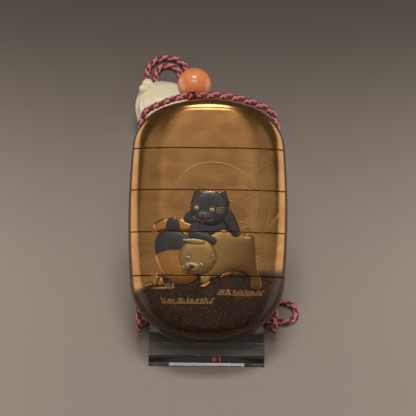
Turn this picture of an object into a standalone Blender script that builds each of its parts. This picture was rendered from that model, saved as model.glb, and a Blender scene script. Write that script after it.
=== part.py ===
"""Inro case of five stacked tiers, with its cord, bead, toggle and clear stand.

Metres, +Z up. X runs across the case, Y away from the viewer. The origin lies on the table, under the
middle of the stand's front bar. The case is modelled upright about its own centre, in a frame whose -Y
is its front, and one empty leans that frame back on the stand.
"""

import math

import bmesh
import bpy
import numpy as np
from mathutils import Matrix, Vector

# Driving dimensions, in metres and degrees
GAP = 0.0003

CASE_HEIGHT = 0.0887
CASE_WIDTH = 0.0586
CASE_DEPTH = 0.022
SECTION_POWER = 2.8
END_RADIUS = 0.0509
SIDE_RADIUS = 0.291
SHOULDER_RADIUS = 0.0175
FOOT_RADIUS = 0.0218
EDGE_ROUND = 0.005
LID_HEIGHT = 0.0188
CASE_1_HEIGHT = 0.0153
CASE_2_HEIGHT = 0.0154
CASE_3_HEIGHT = 0.0160

FRONT_WALL = 0.0024
END_WALL = 0.0020
FLOOR = 0.0014
LIP_WALL = 0.0012
LIP_HEIGHT = 0.0040
LIP_CLEARANCE = 0.0003
CHANNEL_INSET = 0.0044
CHANNEL_WALL = 0.0011
MOUTH_FLARE = 0.0010
MOUTH_DEPTH = 0.0022
RELIEF_HEIGHT = 0.0010

CORD_DIAMETER = 0.0024
CORD_CLEARANCE = 0.00035
CORD_POINT_SPACING = 0.0058

BEAD_DIAMETER = 0.01265
BEAD_HOLE_CLEARANCE = 0.0005
STRAND_SPACING = 0.0027
BEAD_X = -0.0055
BEAD_FROM_MIDDLE = 0.0062

LEAN_FROM_TABLE = 40.5
STAND_WIDTH = 0.0425
BAR_DEPTH = 0.0067
BAR_HEIGHT = 0.0046
LEDGE_THICKNESS = 0.0024
PANEL_THICKNESS = 0.0030
PANEL_LENGTH = 0.0510
LEG_LEAN = 12.0
# Radii of its edges, its bends and its lower bend under the case, then the bevelled toe: how far it reaches
# to the front, the height at which it begins, the thickness of its edge and the radius of its corners
STAND_EDGE = 0.0004
STAND_BEND = 0.0015
HEEL_BEND = 0.0005
TOE_REACH = 0.0012
TOE_TOP = 0.0008
TOE_EDGE = 0.0003
TOE_BEND = 0.0001

NETSUKE_WIDTH = 0.0216
NETSUKE_DEPTH = 0.0215
NETSUKE_HEIGHT = 0.0190
NETSUKE_PLACE = (-0.0185, 0.1250)
NETSUKE_POWER = 2.5
# Shares of its height above its middle, and below it where the foot is cut flat
NETSUKE_TOP = 0.53
NETSUKE_FOOT = 0.47
# Its pleats: share of the width that they stand out, how many lie round it, and where they end
PLEAT_RISE = 0.055
PLEAT_COUNT = 14.0
PLEAT_LEAN = (0.9, 0.5)
PLEAT_ENDS = (0.25, 0.75, 0.35)
# Its two knots: their directions from the middle, share of the width that they stand out, and their spread
KNOT_WAYS = ((-0.51, 0.38, 0.77), (-0.645, 0.19, 0.74))
KNOT_RISE = 0.13
KNOT_SPREAD = 0.018
# Place of the cord holes, as a share of the width to the left of its middle
CORD_HOLE_SHIFT = 0.12
CORD_HOLE_DEPTH = 0.0060
CORD_HOLE_DIAMETER = 0.0033
CORD_HOLE_HEIGHT = 0.0042

KNOT_SIZE = (0.0098, 0.0084, 0.0060)
KNOT_PLACE = (0.0030, 0.0255)
# Share of the knot's half height at which it lies flat on the table
KNOT_FLAT = 0.9

# Values that follow from them
SEAMS = [CASE_HEIGHT / 2]
for tier_height in (LID_HEIGHT, CASE_1_HEIGHT, CASE_2_HEIGHT, CASE_3_HEIGHT):
    SEAMS.append(SEAMS[-1] - tier_height)
SEAMS.append(-CASE_HEIGHT / 2)

CHANNEL_RADIUS = CORD_DIAMETER / 2 + CORD_CLEARANCE
CHANNEL_X = CASE_WIDTH / 2 - CHANNEL_INSET
RECESS_WIDTH = CHANNEL_X - CHANNEL_RADIUS - CHANNEL_WALL
CAVITY_DEPTH = CASE_DEPTH / 2 - FRONT_WALL
RECESS_HALF = (RECESS_WIDTH, CAVITY_DEPTH + LIP_WALL + LIP_CLEARANCE)
LIP_HALF = (RECESS_WIDTH - LIP_CLEARANCE, CAVITY_DEPTH + LIP_WALL)
CAVITY_HALF = (RECESS_WIDTH - LIP_CLEARANCE - LIP_WALL, CAVITY_DEPTH)

LEAN = math.radians(LEAN_FROM_TABLE)
UP_CASE = Vector((0.0, math.cos(LEAN), math.sin(LEAN)))
FRONT_CASE = Vector((0.0, -math.sin(LEAN), math.cos(LEAN)))


def case_centre():
    """The case's centre: its end rests on the bar's back edge, and its back on the ledge and the panel."""
    bar_edge = Vector((0.0, BAR_DEPTH / 2, BAR_HEIGHT))
    above_end = CASE_HEIGHT / 2 + GAP
    round_low = EDGE_ROUND + GAP + LEDGE_THICKNESS
    # The lowest point of the back edge's rounding touches the ledge, which fixes the height
    to_round = -UP_CASE * (CASE_HEIGHT / 2 - EDGE_ROUND) - FRONT_CASE * (CASE_DEPTH / 2 - EDGE_ROUND)
    z = round_low - to_round.z
    along = above_end + bar_edge.z * UP_CASE.z - z * UP_CASE.z
    y = along / UP_CASE.y + bar_edge.y
    return Vector((0.0, y, z))


CASE_CENTRE = case_centre()

LACQUER_GOLD = (0.42, 0.25, 0.09)
LACQUER_DARK = (0.16, 0.085, 0.035)
CORAL = (0.78, 0.24, 0.10)
IVORY = (0.87, 0.76, 0.56)
SILK = (0.20, 0.035, 0.045)
ACRYLIC = (0.93, 0.95, 0.95)

# The raised picture of three puppies, as mounds laid over each other from the back to the front: centre
# x and z, half width and height, turn in degrees, share of the relief height. Lengths are shares of the
# case's height, so the picture grows with the case.
PICTURE = [
    # The piebald puppy, sitting with its back turned: body, head and ears
    (-0.124, -0.171, 0.093, 0.105, 0, 0.55),
    (-0.118, -0.050, 0.060, 0.046, 0, 0.68),
    (-0.192, -0.034, 0.034, 0.021, 22, 0.50),
    (-0.073, -0.030, 0.032, 0.021, -16, 0.50),
    # The dark puppy's shoulder and chest
    (-0.075, 0.000, 0.034, 0.026, 40, 0.45),
    (0.014, -0.034, 0.077, 0.050, 0, 0.58),
    # The gold puppy's tail, body and legs
    (0.169, -0.061, 0.022, 0.028, 0, 0.55),
    (0.075, -0.230, 0.040, 0.022, 18, 0.50),
    (0.097, -0.155, 0.115, 0.105, -6, 0.80),
    (0.196, -0.256, 0.031, 0.052, 6, 0.70),
    (-0.006, -0.264, 0.028, 0.026, 10, 0.65),
    # The dark puppy's arms over it, then its head and ears
    (0.101, -0.040, 0.062, 0.025, -58, 1.00),
    (-0.012, -0.075, 0.050, 0.023, -42, 1.00),
    (0.003, 0.038, 0.078, 0.067, 0, 1.15),
    (-0.052, 0.091, 0.022, 0.026, 30, 0.90),
    (0.062, 0.085, 0.022, 0.026, -30, 0.90),
    # The gold puppy's head, nose and ears
    (-0.038, -0.171, 0.077, 0.071, 0, 1.15),
    (-0.079, -0.109, 0.042, 0.021, 12, 1.35),
    (0.034, -0.151, 0.020, 0.036, 24, 1.30),
    (-0.062, -0.194, 0.030, 0.024, -18, 1.55),
    (-0.018, 0.018, 0.032, 0.024, 0, 1.50),
]
# A mound's height at its edge as a share of its height in the middle, the share of its size at which its
# crown begins, how deep it is rooted in the wall, how far it stays from a seam, the points of its outline
# and those along an edge that a seam cuts off
MOUND_EDGE = 0.55
MOUND_CROWN = 0.6
MOUND_ROOT = 0.0004
SEAM_MARGIN = 0.00015
MOUND_POINTS = 14
CUT_POINTS = 3


def material(name, colour, roughness, metallic=0.0, transmission=0.0):
    """A Principled material in one colour."""
    made = bpy.data.materials.new(name)
    made.use_nodes = True
    shader = made.node_tree.nodes["Principled BSDF"]
    shader.inputs["Base Color"].default_value = (*colour, 1.0)
    shader.inputs["Roughness"].default_value = roughness
    shader.inputs["Metallic"].default_value = metallic
    shader.inputs["Transmission Weight"].default_value = transmission
    return made


# Angle in degrees between two faces from which their shared edge is sharp
SHARP_FROM = 35


def add_mesh(name, bm, finish, parent=None):
    """Turns a closed bmesh into a named object, faces out."""
    bmesh.ops.recalc_face_normals(bm, faces=bm.faces)
    mesh = bpy.data.meshes.new(name)
    bm.to_mesh(mesh)
    bm.free()
    mesh.materials.append(finish)
    made = bpy.data.objects.new(name, mesh)
    bpy.context.scene.collection.objects.link(made)
    made.parent = parent
    mesh.shade_smooth()
    mesh.set_sharp_from_angle(angle=math.radians(SHARP_FROM))
    return made


def combine(target, other, operation):
    """Cuts another object out of one, or unites it with it, and keeps the other as a guide only."""
    other.hide_render = True
    other.display_type = "WIRE"
    step = target.modifiers.new(other.name, "BOOLEAN")
    step.operation = operation
    step.solver = "EXACT"
    step.object = other


def zip_rings(bm, first, second):
    """Joins two rings of vertices that start at the same angle, with equal or unequal counts."""
    (angles_a, ring_a), (angles_b, ring_b) = first, second
    if len(ring_a) == len(ring_b):
        for i in range(len(ring_a)):
            j = (i + 1) % len(ring_a)
            bm.faces.new((ring_a[i], ring_a[j], ring_b[j], ring_b[i]))
        return
    full = 2 * math.pi
    i = j = 0
    while i < len(ring_a) or j < len(ring_b):
        next_a = angles_a[i + 1] if i + 1 < len(ring_a) else full if i < len(ring_a) else 2 * full
        next_b = angles_b[j + 1] if j + 1 < len(ring_b) else full if j < len(ring_b) else 2 * full
        here_a, here_b = ring_a[i % len(ring_a)], ring_b[j % len(ring_b)]
        if next_a <= next_b:
            bm.faces.new((here_a, ring_a[(i + 1) % len(ring_a)], here_b))
            i += 1
        else:
            bm.faces.new((here_a, ring_b[(j + 1) % len(ring_b)], here_b))
            j += 1


def loft(rings):
    """A closed bmesh through rings of (angle, point), with flat caps on the first and last."""
    bm = bmesh.new()
    made = []
    for ring in rings:
        made.append(([angle for angle, _ in ring], [bm.verts.new(point) for _, point in ring]))
    for first, second in zip(made, made[1:]):
        zip_rings(bm, first, second)
    bm.faces.new(made[0][1])
    bm.faces.new(made[-1][1])
    return bm


def end_outline(corner_radius):
    """The corner arc's centre and its tangent points with the end arc and the side arc."""
    end = np.array((0.0, CASE_HEIGHT / 2 - END_RADIUS))
    side = np.array((CASE_WIDTH / 2 - SIDE_RADIUS, 0.0))
    to_end, to_side = END_RADIUS - corner_radius, SIDE_RADIUS - corner_radius
    span = np.linalg.norm(side - end)
    along = (to_end**2 - to_side**2 + span**2) / (2 * span)
    across = math.sqrt(to_end**2 - along**2)
    way = (side - end) / span
    corner = end + along * way + across * np.array((-way[1], way[0]))
    if corner[1] < 0:
        corner = end + along * way - across * np.array((-way[1], way[0]))
    on_end = end + (corner - end) * END_RADIUS / to_end
    on_side = side + (corner - side) * SIDE_RADIUS / to_side
    return corner, on_end[1], on_side[1]


OUTLINE_TOP = end_outline(SHOULDER_RADIUS)
OUTLINE_BOTTOM = end_outline(FOOT_RADIUS)


def half_width(z):
    """Half the case's width at a height: an end arc, a corner arc and a long side arc."""
    radius = SHOULDER_RADIUS if z >= 0 else FOOT_RADIUS
    corner, end_from, side_to = OUTLINE_TOP if z >= 0 else OUTLINE_BOTTOM
    z = min(abs(z), CASE_HEIGHT / 2)
    if z >= end_from:
        return math.sqrt(max(END_RADIUS**2 - (z - CASE_HEIGHT / 2 + END_RADIUS) ** 2, 0.0))
    if z >= side_to:
        return corner[0] + math.sqrt(max(radius**2 - (z - corner[1]) ** 2, 0.0))
    return CASE_WIDTH / 2 - SIDE_RADIUS + math.sqrt(SIDE_RADIUS**2 - z * z)


def half_depth(z):
    """Half the case's depth at a height, rounded over at both ends."""
    over = min(max(abs(z) - (CASE_HEIGHT / 2 - EDGE_ROUND), 0.0), EDGE_ROUND)
    return CASE_DEPTH / 2 - EDGE_ROUND + math.sqrt(EDGE_ROUND**2 - over**2)


# Shares of the section's half width at which its front and back turn into its sides
FLAT_SHARE = 0.8
SIDE_SHARES = (0.62, 0.42, 0.20)

# Steps across a section's front or back, inside and out, and rows up a tier
INNER_STEPS = 8
OUTER_STEPS = 10
TIER_ROWS = 3
END_ROWS = 6
# How near a closed end's tip its first ring lies, as a share, and how much denser its rings grow there
TIP_SHARE = 0.12
TIP_POWER = 2.0


def superellipse(share):
    """How deep the case's section is at a share of its half width, as a share of its half depth."""
    return (1 - min(abs(share), 1.0) ** SECTION_POWER) ** (1 / SECTION_POWER)


def section(half_x, half_y, z, steps=INNER_STEPS):
    """One superellipse ring of the case, from its +X side over the back to the front."""
    across = np.linspace(-FLAT_SHARE, FLAT_SHARE, steps + 1)
    shares = [(1.0, 0.0)]
    shares += [(superellipse(y), y) for y in reversed(SIDE_SHARES)]
    shares += [(x, superellipse(x)) for x in reversed(across)]
    shares += [(-superellipse(y), y) for y in SIDE_SHARES]
    shares += [(-1.0, 0.0)]
    shares += [(-superellipse(y), -y) for y in reversed(SIDE_SHARES)]
    shares += [(x, -superellipse(x)) for x in across]
    shares += [(superellipse(y), -y) for y in SIDE_SHARES]
    ring = []
    for share_x, share_y in shares:
        angle = math.atan2(share_y, share_x) % (2 * math.pi)
        ring.append((angle, Vector((half_x * share_x, half_y * share_y, z))))
    return ring


def outer_ring(z):
    """The ring of the outside at a height."""
    return section(half_width(z), half_depth(z), z, OUTER_STEPS)


def lip_rings(seam):
    """Rings from the seam up over the raised inner lip and into the cavity."""
    top = seam + LIP_HEIGHT
    return [section(*LIP_HALF, seam), section(*LIP_HALF, top), section(*CAVITY_HALF, top)]


def recess_depth():
    """Depth of the recess that takes the lip of the tier below."""
    return LIP_HEIGHT + LIP_CLEARANCE


def end_cavity(z, sign):
    """Half sizes of the cavity inside a closed end: the outline moved in by the end wall."""
    out = z + sign * END_WALL
    inner_y = min(CAVITY_HALF[1], half_depth(out) - FRONT_WALL)
    return min(CAVITY_HALF[0], half_width(out)), inner_y


def end_heights(sign, edge):
    """Heights of the rings from a closed end's tip to an edge, growing denser towards the tip."""
    tip = sign * CASE_HEIGHT / 2
    return [tip + (edge - tip) * share**TIP_POWER for share in np.linspace(TIP_SHARE, 1.0, END_ROWS)]


def middle_tier(name, upper, lower, finish, parent):
    """An open tier: a recess below, a floor, and a raised lip above."""
    low, high = lower + GAP, upper
    ceiling = low + recess_depth()
    rings = [section(*RECESS_HALF, ceiling), section(*RECESS_HALF, low)]
    rings += [outer_ring(z) for z in np.linspace(low, high, TIER_ROWS + 1)]
    rings += lip_rings(high)
    rings += [section(*CAVITY_HALF, ceiling + FLOOR)]
    return add_mesh(name, loft(rings), finish, parent)


def bottom_tier(name, upper, finish, parent):
    """The lowest tier, closed by the case's rounded lower end."""
    tips = end_heights(-1, upper)
    rings = [outer_ring(z) for z in tips]
    rings += lip_rings(upper)
    for z in reversed([z + END_WALL for z in tips[1:-1]]):
        rings.append(section(*end_cavity(z, -1), z))
    return add_mesh(name, loft(rings), finish, parent)


def lid_tier(name, lower, finish, parent):
    """The lid, closed by the case's arched upper end and open below."""
    low = lower + GAP
    step = low + recess_depth()
    tips = end_heights(1, step)
    rings = [section(*end_cavity(z - END_WALL, 1), z - END_WALL) for z in tips[1:-1]]
    rings += [section(*CAVITY_HALF, step), section(*RECESS_HALF, step), section(*RECESS_HALF, low)]
    rings += [outer_ring(z) for z in [low, *reversed(tips)]]
    return add_mesh(name, loft(rings), finish, parent)


def on_front(across, along, mound):
    """The place on the front, as x and z, of a point given in shares of a mound's half sizes."""
    mid_x, mid_z, size_x, size_z, turn, _ = mound
    c, s = math.cos(math.radians(turn)), math.sin(math.radians(turn))
    dx = c * across * size_x - s * along * size_z
    dz = s * across * size_x + c * along * size_z
    return (mid_x + dx) * CASE_HEIGHT, (mid_z + dz) * CASE_HEIGHT


def mound_height(x, z, mound):
    """How far a mound stands out at a place on the front."""
    mid_x, mid_z, size_x, size_z, turn, share = mound
    dx, dz = x / CASE_HEIGHT - mid_x, z / CASE_HEIGHT - mid_z
    c, s = math.cos(math.radians(turn)), math.sin(math.radians(turn))
    off = ((c * dx + s * dz) / size_x) ** 2 + ((c * dz - s * dx) / size_z) ** 2
    return RELIEF_HEIGHT * share * (MOUND_EDGE + (1 - MOUND_EDGE) * max(1 - off, 0.0))


def clipped(outline, low, high):
    """What lies between two heights of an outline on the front, with more points along each cut."""
    for side, edge in ((1, low), (-1, high)):
        kept = []
        for i, (x, z) in enumerate(outline):
            last_x, last_z = outline[i - 1]
            here, last = side * (z - edge), side * (last_z - edge)
            if here * last < 0:
                share = last / (last - here)
                kept.append((last_x + (x - last_x) * share, edge))
            if here > 0:
                kept.append((x, z))
        outline = kept
    finer = []
    for i, (x, z) in enumerate(outline):
        last_x, last_z = outline[i - 1]
        if z == last_z and z in (low, high):
            between = np.linspace(last_x, x, CUT_POINTS + 2)[1:-1]
            finer += [(float(place), z) for place in between]
        finer.append((x, z))
    return finer


def build_mound(name, mound, outline, finish, parent):
    """One mound of the picture, rooted in the wall, with an upright edge and a domed crown."""
    middle_x, middle_z = np.mean(outline, axis=0)
    bm = bmesh.new()

    def vertex(x, z, out):
        front = half_depth(z) * superellipse(x / half_width(z))
        return bm.verts.new((x, -front - out, z))

    crown = [(middle_x + (x - middle_x) * MOUND_CROWN, middle_z + (z - middle_z) * MOUND_CROWN)
             for x, z in outline]
    root = [vertex(x, z, -MOUND_ROOT) for x, z in outline]
    edge = [vertex(x, z, mound_height(x, z, mound)) for x, z in outline]
    dome = [vertex(x, z, mound_height(x, z, mound)) for x, z in crown]
    top = vertex(middle_x, middle_z, mound_height(middle_x, middle_z, mound))
    bm.faces.new(root)
    for i in range(len(outline)):
        j = (i + 1) % len(outline)
        bm.faces.new((root[i], root[j], edge[j], edge[i]))
        bm.faces.new((edge[i], edge[j], dome[j], dome[i]))
        bm.faces.new((dome[i], dome[j], top))
    return add_mesh(name, bm, finish, parent)


def raise_picture(tier, low, high, finish, parent):
    """Unites a tier with the mounds of the picture that lie on it."""
    turns = np.linspace(0, 2 * math.pi, MOUND_POINTS, endpoint=False)
    for number, mound in enumerate(PICTURE, 1):
        whole = [on_front(math.cos(turn), math.sin(turn), mound) for turn in turns]
        # Each stops a little further from the seam than the last, so that no two cut faces share a plane
        margin = SEAM_MARGIN * (1 + number / len(PICTURE))
        outline = clipped(whole, low + margin, high - margin)
        if len(outline) > 2:
            raised = build_mound(f"{tier.name}_mound_{number}", mound, outline, finish, parent)
            combine(tier, raised, "UNION")


# The channel's round cutter, turned so that no corner of it lies in the case's middle plane
CHANNEL_SIDES = 12
CHANNEL_TURN = 0.4
HALVINGS = 30


def mouth_height(sign):
    """Height at which the cord channel comes out of a shoulder."""
    inside, outside = 0.0, CASE_HEIGHT / 2
    for _ in range(HALVINGS):
        middle = (inside + outside) / 2
        if half_width(sign * middle) > CHANNEL_X:
            inside = middle
        else:
            outside = middle
    return sign * inside


def channel_cutter(name, x, finish, parent):
    """The cord channel of one side, straight through the case and flared at both mouths."""
    top, bottom = mouth_height(1), mouth_height(-1)
    wide = CHANNEL_RADIUS + MOUTH_FLARE
    profile = [
        (-CASE_HEIGHT, wide), (bottom, wide), (bottom + MOUTH_DEPTH, CHANNEL_RADIUS),
        (top - MOUTH_DEPTH, CHANNEL_RADIUS), (top, wide), (CASE_HEIGHT, wide),
    ]
    turns = [2 * math.pi * (k + CHANNEL_TURN) / CHANNEL_SIDES for k in range(CHANNEL_SIDES)]
    rings = []
    for z, radius in profile:
        rings.append([(a, Vector((x + radius * math.cos(a), radius * math.sin(a), z))) for a in turns])
    return add_mesh(name, loft(rings), finish, parent)


def build_case():
    """The five tiers in the leaning frame, with a cord channel through each end."""
    gold = material("gold_lacquer", LACQUER_GOLD, 0.30, 0.75)
    dark = material("dark_lacquer", LACQUER_DARK, 0.30, 0.4)
    frame = bpy.data.objects.new("case_frame", None)
    bpy.context.scene.collection.objects.link(frame)
    frame.location = CASE_CENTRE
    frame.rotation_euler = (-(math.pi / 2 - LEAN), 0.0, 0.0)
    tiers = [
        lid_tier("lid", SEAMS[1], gold, frame),
        middle_tier("case_1", SEAMS[1], SEAMS[2], gold, frame),
        middle_tier("case_2", SEAMS[2], SEAMS[3], gold, frame),
        middle_tier("case_3", SEAMS[3], SEAMS[4], gold, frame),
        bottom_tier("case_4", SEAMS[4], dark, frame),
    ]
    for tier, high, low in zip(tiers[2:], SEAMS[2:], SEAMS[3:]):
        raise_picture(tier, low + GAP, high, gold, frame)
    for side, x in (("left", -CHANNEL_X), ("right", CHANNEL_X)):
        channel = channel_cutter(f"channel_{side}", x, dark, frame)
        for tier in tiers:
            combine(tier, channel, "DIFFERENCE")


def on_case(x, y, z):
    """World place of a point given in the case's own frame."""
    return CASE_CENTRE + Vector((x, 0, 0)) - FRONT_CASE * y + UP_CASE * z


def bead_centre():
    """The bead rests on the lid's crown, behind the cord."""
    return on_case(BEAD_X, BEAD_FROM_MIDDLE, CASE_HEIGHT / 2 + BEAD_DIAMETER / 2 + GAP)


# Points along the bead's profile and steps round its hole
BEAD_ROWS = 10
BEAD_TURNS = 18


def build_bead():
    """A turned ball with a round hole wide enough for both strands side by side."""
    radius = BEAD_DIAMETER / 2
    hole = STRAND_SPACING / 2 + CORD_DIAMETER / 2 + BEAD_HOLE_CLEARANCE
    reach = math.asin(hole / radius)
    rises = np.linspace(reach, math.pi - reach, BEAD_ROWS)
    profile = [(radius * math.sin(rise), radius * math.cos(rise)) for rise in rises]
    bm = bmesh.new()
    loops = []
    for k in range(BEAD_TURNS):
        a = 2 * math.pi * k / BEAD_TURNS
        loops.append([bm.verts.new((r * math.cos(a), y, r * math.sin(a))) for r, y in profile])
    for k in range(BEAD_TURNS):
        here, after = loops[k], loops[(k + 1) % BEAD_TURNS]
        for i in range(len(profile)):
            j = (i + 1) % len(profile)
            bm.faces.new((here[i], here[j], after[j], after[i]))
    bead = add_mesh("ojime_bead", bm, material("coral", CORAL, 0.18))
    bead.location = bead_centre()


# Rows and columns of the faces of the two lumps
NETSUKE_GRID = (12, 20)
KNOT_GRID = (8, 12)


def blob(rows, columns, radius_of, low):
    """A closed star-shaped lump about the origin, cut flat at a lowest height."""
    bm = bmesh.new()

    def place(rise, turn):
        way = Vector((math.cos(rise) * math.cos(turn), math.cos(rise) * math.sin(turn), math.sin(rise)))
        point = way * radius_of(way)
        point.z = max(point.z, low)
        return point

    rings = []
    for i in range(1, rows):
        rise = -math.pi / 2 + math.pi * i / rows
        rings.append([bm.verts.new(place(rise, 2 * math.pi * k / columns)) for k in range(columns)])
    foot = bm.verts.new(place(-math.pi / 2, 0))
    top = bm.verts.new(place(math.pi / 2, 0))
    for k in range(columns):
        after = (k + 1) % columns
        bm.faces.new((foot, rings[0][after], rings[0][k]))
        bm.faces.new((top, rings[-1][k], rings[-1][after]))
        for lower, upper in zip(rings, rings[1:]):
            bm.faces.new((lower[k], lower[after], upper[after], upper[k]))
    return bm


def rounded_radius(way, half, power=2.0):
    """Distance from a rounded lump's centre to its surface along a direction."""
    return sum((abs(way[k]) / half[k]) ** power for k in range(3)) ** (-1 / power)


def netsuke_radius(way):
    """The toggle: a swelling sack, its gathered cloth in ridges at the left and two knots on top."""
    half = (NETSUKE_WIDTH / 2, NETSUKE_DEPTH / 2, NETSUKE_HEIGHT * NETSUKE_TOP)
    radius = rounded_radius(way, half, NETSUKE_POWER)
    from_left, from_top, from_back = PLEAT_ENDS
    gathered = max(0.0, -way.x - from_left) * max(0.0, from_top - way.z) * max(0.0, from_back - way.y)
    ridges = math.cos(PLEAT_COUNT * (way.z * PLEAT_LEAN[0] - way.x * PLEAT_LEAN[1]))
    radius += NETSUKE_WIDTH * PLEAT_RISE * gathered * ridges
    for knot in KNOT_WAYS:
        near = way.dot(Vector(knot).normalized())
        radius += NETSUKE_WIDTH * KNOT_RISE * math.exp(-((1 - near) / KNOT_SPREAD))
    return radius


def cord_hole_places():
    """Where the two strands go into the toggle's back."""
    x = NETSUKE_PLACE[0] - NETSUKE_WIDTH * CORD_HOLE_SHIFT
    back = NETSUKE_PLACE[1] + NETSUKE_DEPTH / 2
    return [Vector((x + side * STRAND_SPACING / 2, back, CORD_HOLE_HEIGHT)) for side in (1, -1)]


def build_netsuke():
    """The toggle on the table, with two blind cord holes in its back."""
    finish = material("ivory", IVORY, 0.32)
    low = -NETSUKE_HEIGHT * NETSUKE_FOOT
    bm = blob(*NETSUKE_GRID, netsuke_radius, low)
    netsuke = add_mesh("netsuke", bm, finish)
    netsuke.location = (*NETSUKE_PLACE, -low)
    for number, place in enumerate(cord_hole_places(), 1):
        hole = bmesh.new()
        lying = Matrix.Translation(place) @ Matrix.Rotation(math.pi / 2, 4, "X")
        bmesh.ops.create_cone(
            hole, cap_ends=True, segments=CHANNEL_SIDES, radius1=CORD_HOLE_DIAMETER / 2,
            radius2=CORD_HOLE_DIAMETER / 2, depth=2 * CORD_HOLE_DEPTH, matrix=lying,
        )
        combine(netsuke, add_mesh(f"cord_hole_{number}", hole, finish), "DIFFERENCE")


def build_knot():
    """The outer shape of the bow's knot, lying on the table."""
    half = tuple(size / 2 for size in KNOT_SIZE)
    bm = blob(*KNOT_GRID, lambda way: rounded_radius(way, half), -half[2] * KNOT_FLAT)
    knot = add_mesh("cord_knot", bm, material("silk_knot", SILK, 0.7))
    knot.location = (*KNOT_PLACE, half[2] * KNOT_FLAT)


def meet(point_a, way_a, point_b, way_b):
    """Where two lines in the side view cross."""
    rows = np.array((way_a, (-way_b[0], -way_b[1]))).T
    share = np.linalg.solve(rows, np.array(point_b) - np.array(point_a))[0]
    return tuple(np.array(point_a) + share * np.array(way_a))


# Steps round each corner of the stand's outline
CORNER_STEPS = 4


def rounded(corners):
    """A closed outline whose corners, given as (point, radius), are arcs."""
    outline = []
    for i, (point, radius) in enumerate(corners):
        here = np.array(point)
        before = np.array(corners[i - 1][0]) - here
        after = np.array(corners[(i + 1) % len(corners)][0]) - here
        before, after = before / np.linalg.norm(before), after / np.linalg.norm(after)
        half = math.acos(np.clip(before @ after, -1, 1)) / 2
        middle = (before + after) / np.linalg.norm(before + after)
        centre = here + middle * radius / math.sin(half)
        from_arm = here + before * radius / math.tan(half) - centre
        to_arm = here + after * radius / math.tan(half) - centre
        for k in range(CORNER_STEPS + 1):
            share = k / CORNER_STEPS
            arm = from_arm * (1 - share) + to_arm * share
            outline.append(centre + arm / np.linalg.norm(arm) * radius)
    return outline


def build_stand():
    """One bent strip of clear acrylic: front bar with a bevelled toe, ledge, sloping panel and rear leg."""
    up = (UP_CASE.y, UP_CASE.z)
    rest = CASE_CENTRE - FRONT_CASE * (CASE_DEPTH / 2 + GAP)
    under = CASE_CENTRE - FRONT_CASE * (CASE_DEPTH / 2 + GAP + PANEL_THICKNESS)
    rest, under = (rest.y, rest.z), (under.y, under.z)
    front, bar_back = -BAR_DEPTH / 2, BAR_DEPTH / 2
    flat = (1.0, 0.0)
    nook = meet(rest, up, (0.0, LEDGE_THICKNESS), flat)
    heel = meet(under, up, (0.0, 0.0), flat)
    crest = tuple(np.array(nook) + PANEL_LENGTH * np.array(up))
    down = (math.sin(math.radians(LEG_LEAN)), -math.cos(math.radians(LEG_LEAN)))
    inward = PANEL_THICKNESS / math.cos(math.radians(LEG_LEAN))
    foot_back = meet(crest, down, (0.0, 0.0), flat)
    foot_front = (foot_back[0] - inward, 0.0)
    inner_crest = meet(under, up, foot_front, down)
    bend_out = STAND_BEND + PANEL_THICKNESS
    corners = [
        ((front - TOE_REACH, 0.0), TOE_BEND),
        (heel, HEEL_BEND),
        (inner_crest, STAND_BEND),
        (foot_front, STAND_EDGE),
        (foot_back, STAND_EDGE),
        (crest, bend_out),
        (nook, STAND_BEND),
        ((bar_back, LEDGE_THICKNESS), STAND_EDGE),
        ((bar_back, BAR_HEIGHT), STAND_EDGE),
        ((front, BAR_HEIGHT), STAND_EDGE),
        ((front, TOE_TOP), TOE_BEND),
        ((front - TOE_REACH, TOE_EDGE), TOE_BEND),
    ]
    outline = rounded(corners)
    bm = bmesh.new()
    ends = []
    for x in (-STAND_WIDTH / 2, STAND_WIDTH / 2):
        ends.append([bm.verts.new((x, y, z)) for y, z in outline])
    bm.faces.new(ends[0])
    bm.faces.new(ends[1])
    for i in range(len(outline)):
        j = (i + 1) % len(outline)
        bm.faces.new((ends[0][i], ends[0][j], ends[1][j], ends[1][i]))
    add_mesh("acrylic_stand", bm, material("acrylic", ACRYLIC, 0.05, transmission=1.0))


def smooth_route(points, spacing):
    """Evenly spaced points on a smooth curve through a route's own points."""
    route = np.array(points, dtype=float)
    chord = np.concatenate(([0.0], np.cumsum(np.linalg.norm(np.diff(route, axis=0), axis=1))))
    count = len(route)
    step = np.diff(chord)
    rows, right = np.eye(count), np.zeros((count, 3))
    for i in range(1, count - 1):
        rows[i, i - 1 : i + 2] = step[i - 1], 2 * (step[i - 1] + step[i]), step[i]
        right[i] = 6 * ((route[i + 1] - route[i]) / step[i] - (route[i] - route[i - 1]) / step[i - 1])
    curve = np.linalg.solve(rows, right)

    def place(at):
        i = min(max(int(np.searchsorted(chord, at)) - 1, 0), count - 2)
        after, before = at - chord[i], chord[i + 1] - at
        bent = (curve[i] * before**3 + curve[i + 1] * after**3) / (6 * step[i])
        low = (route[i] / step[i] - curve[i] * step[i] / 6) * before
        return bent + low + (route[i + 1] / step[i] - curve[i + 1] * step[i] / 6) * after

    pieces = max(int(round(chord[-1] / spacing)), 2)
    return [place(at) for at in np.linspace(0.0, chord[-1], pieces + 1)]


# Resolution of the curve's round bevel
TUBE_RESOLUTION = 2


def tube(name, route, finish):
    """A cord's plain tube, as a curve with a round bevel and filled caps."""
    points = smooth_route(route, CORD_POINT_SPACING)
    curve = bpy.data.curves.new(name, "CURVE")
    curve.dimensions = "3D"
    curve.bevel_depth = CORD_DIAMETER / 2
    curve.bevel_resolution = TUBE_RESOLUTION
    curve.use_fill_caps = True
    spline = curve.splines.new("POLY")
    spline.points.add(len(points) - 1)
    for target, point in zip(spline.points, points):
        target.co = (*point, 1.0)
    curve.materials.append(finish)
    made = bpy.data.objects.new(name, curve)
    bpy.context.scene.collection.objects.link(made)


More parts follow.
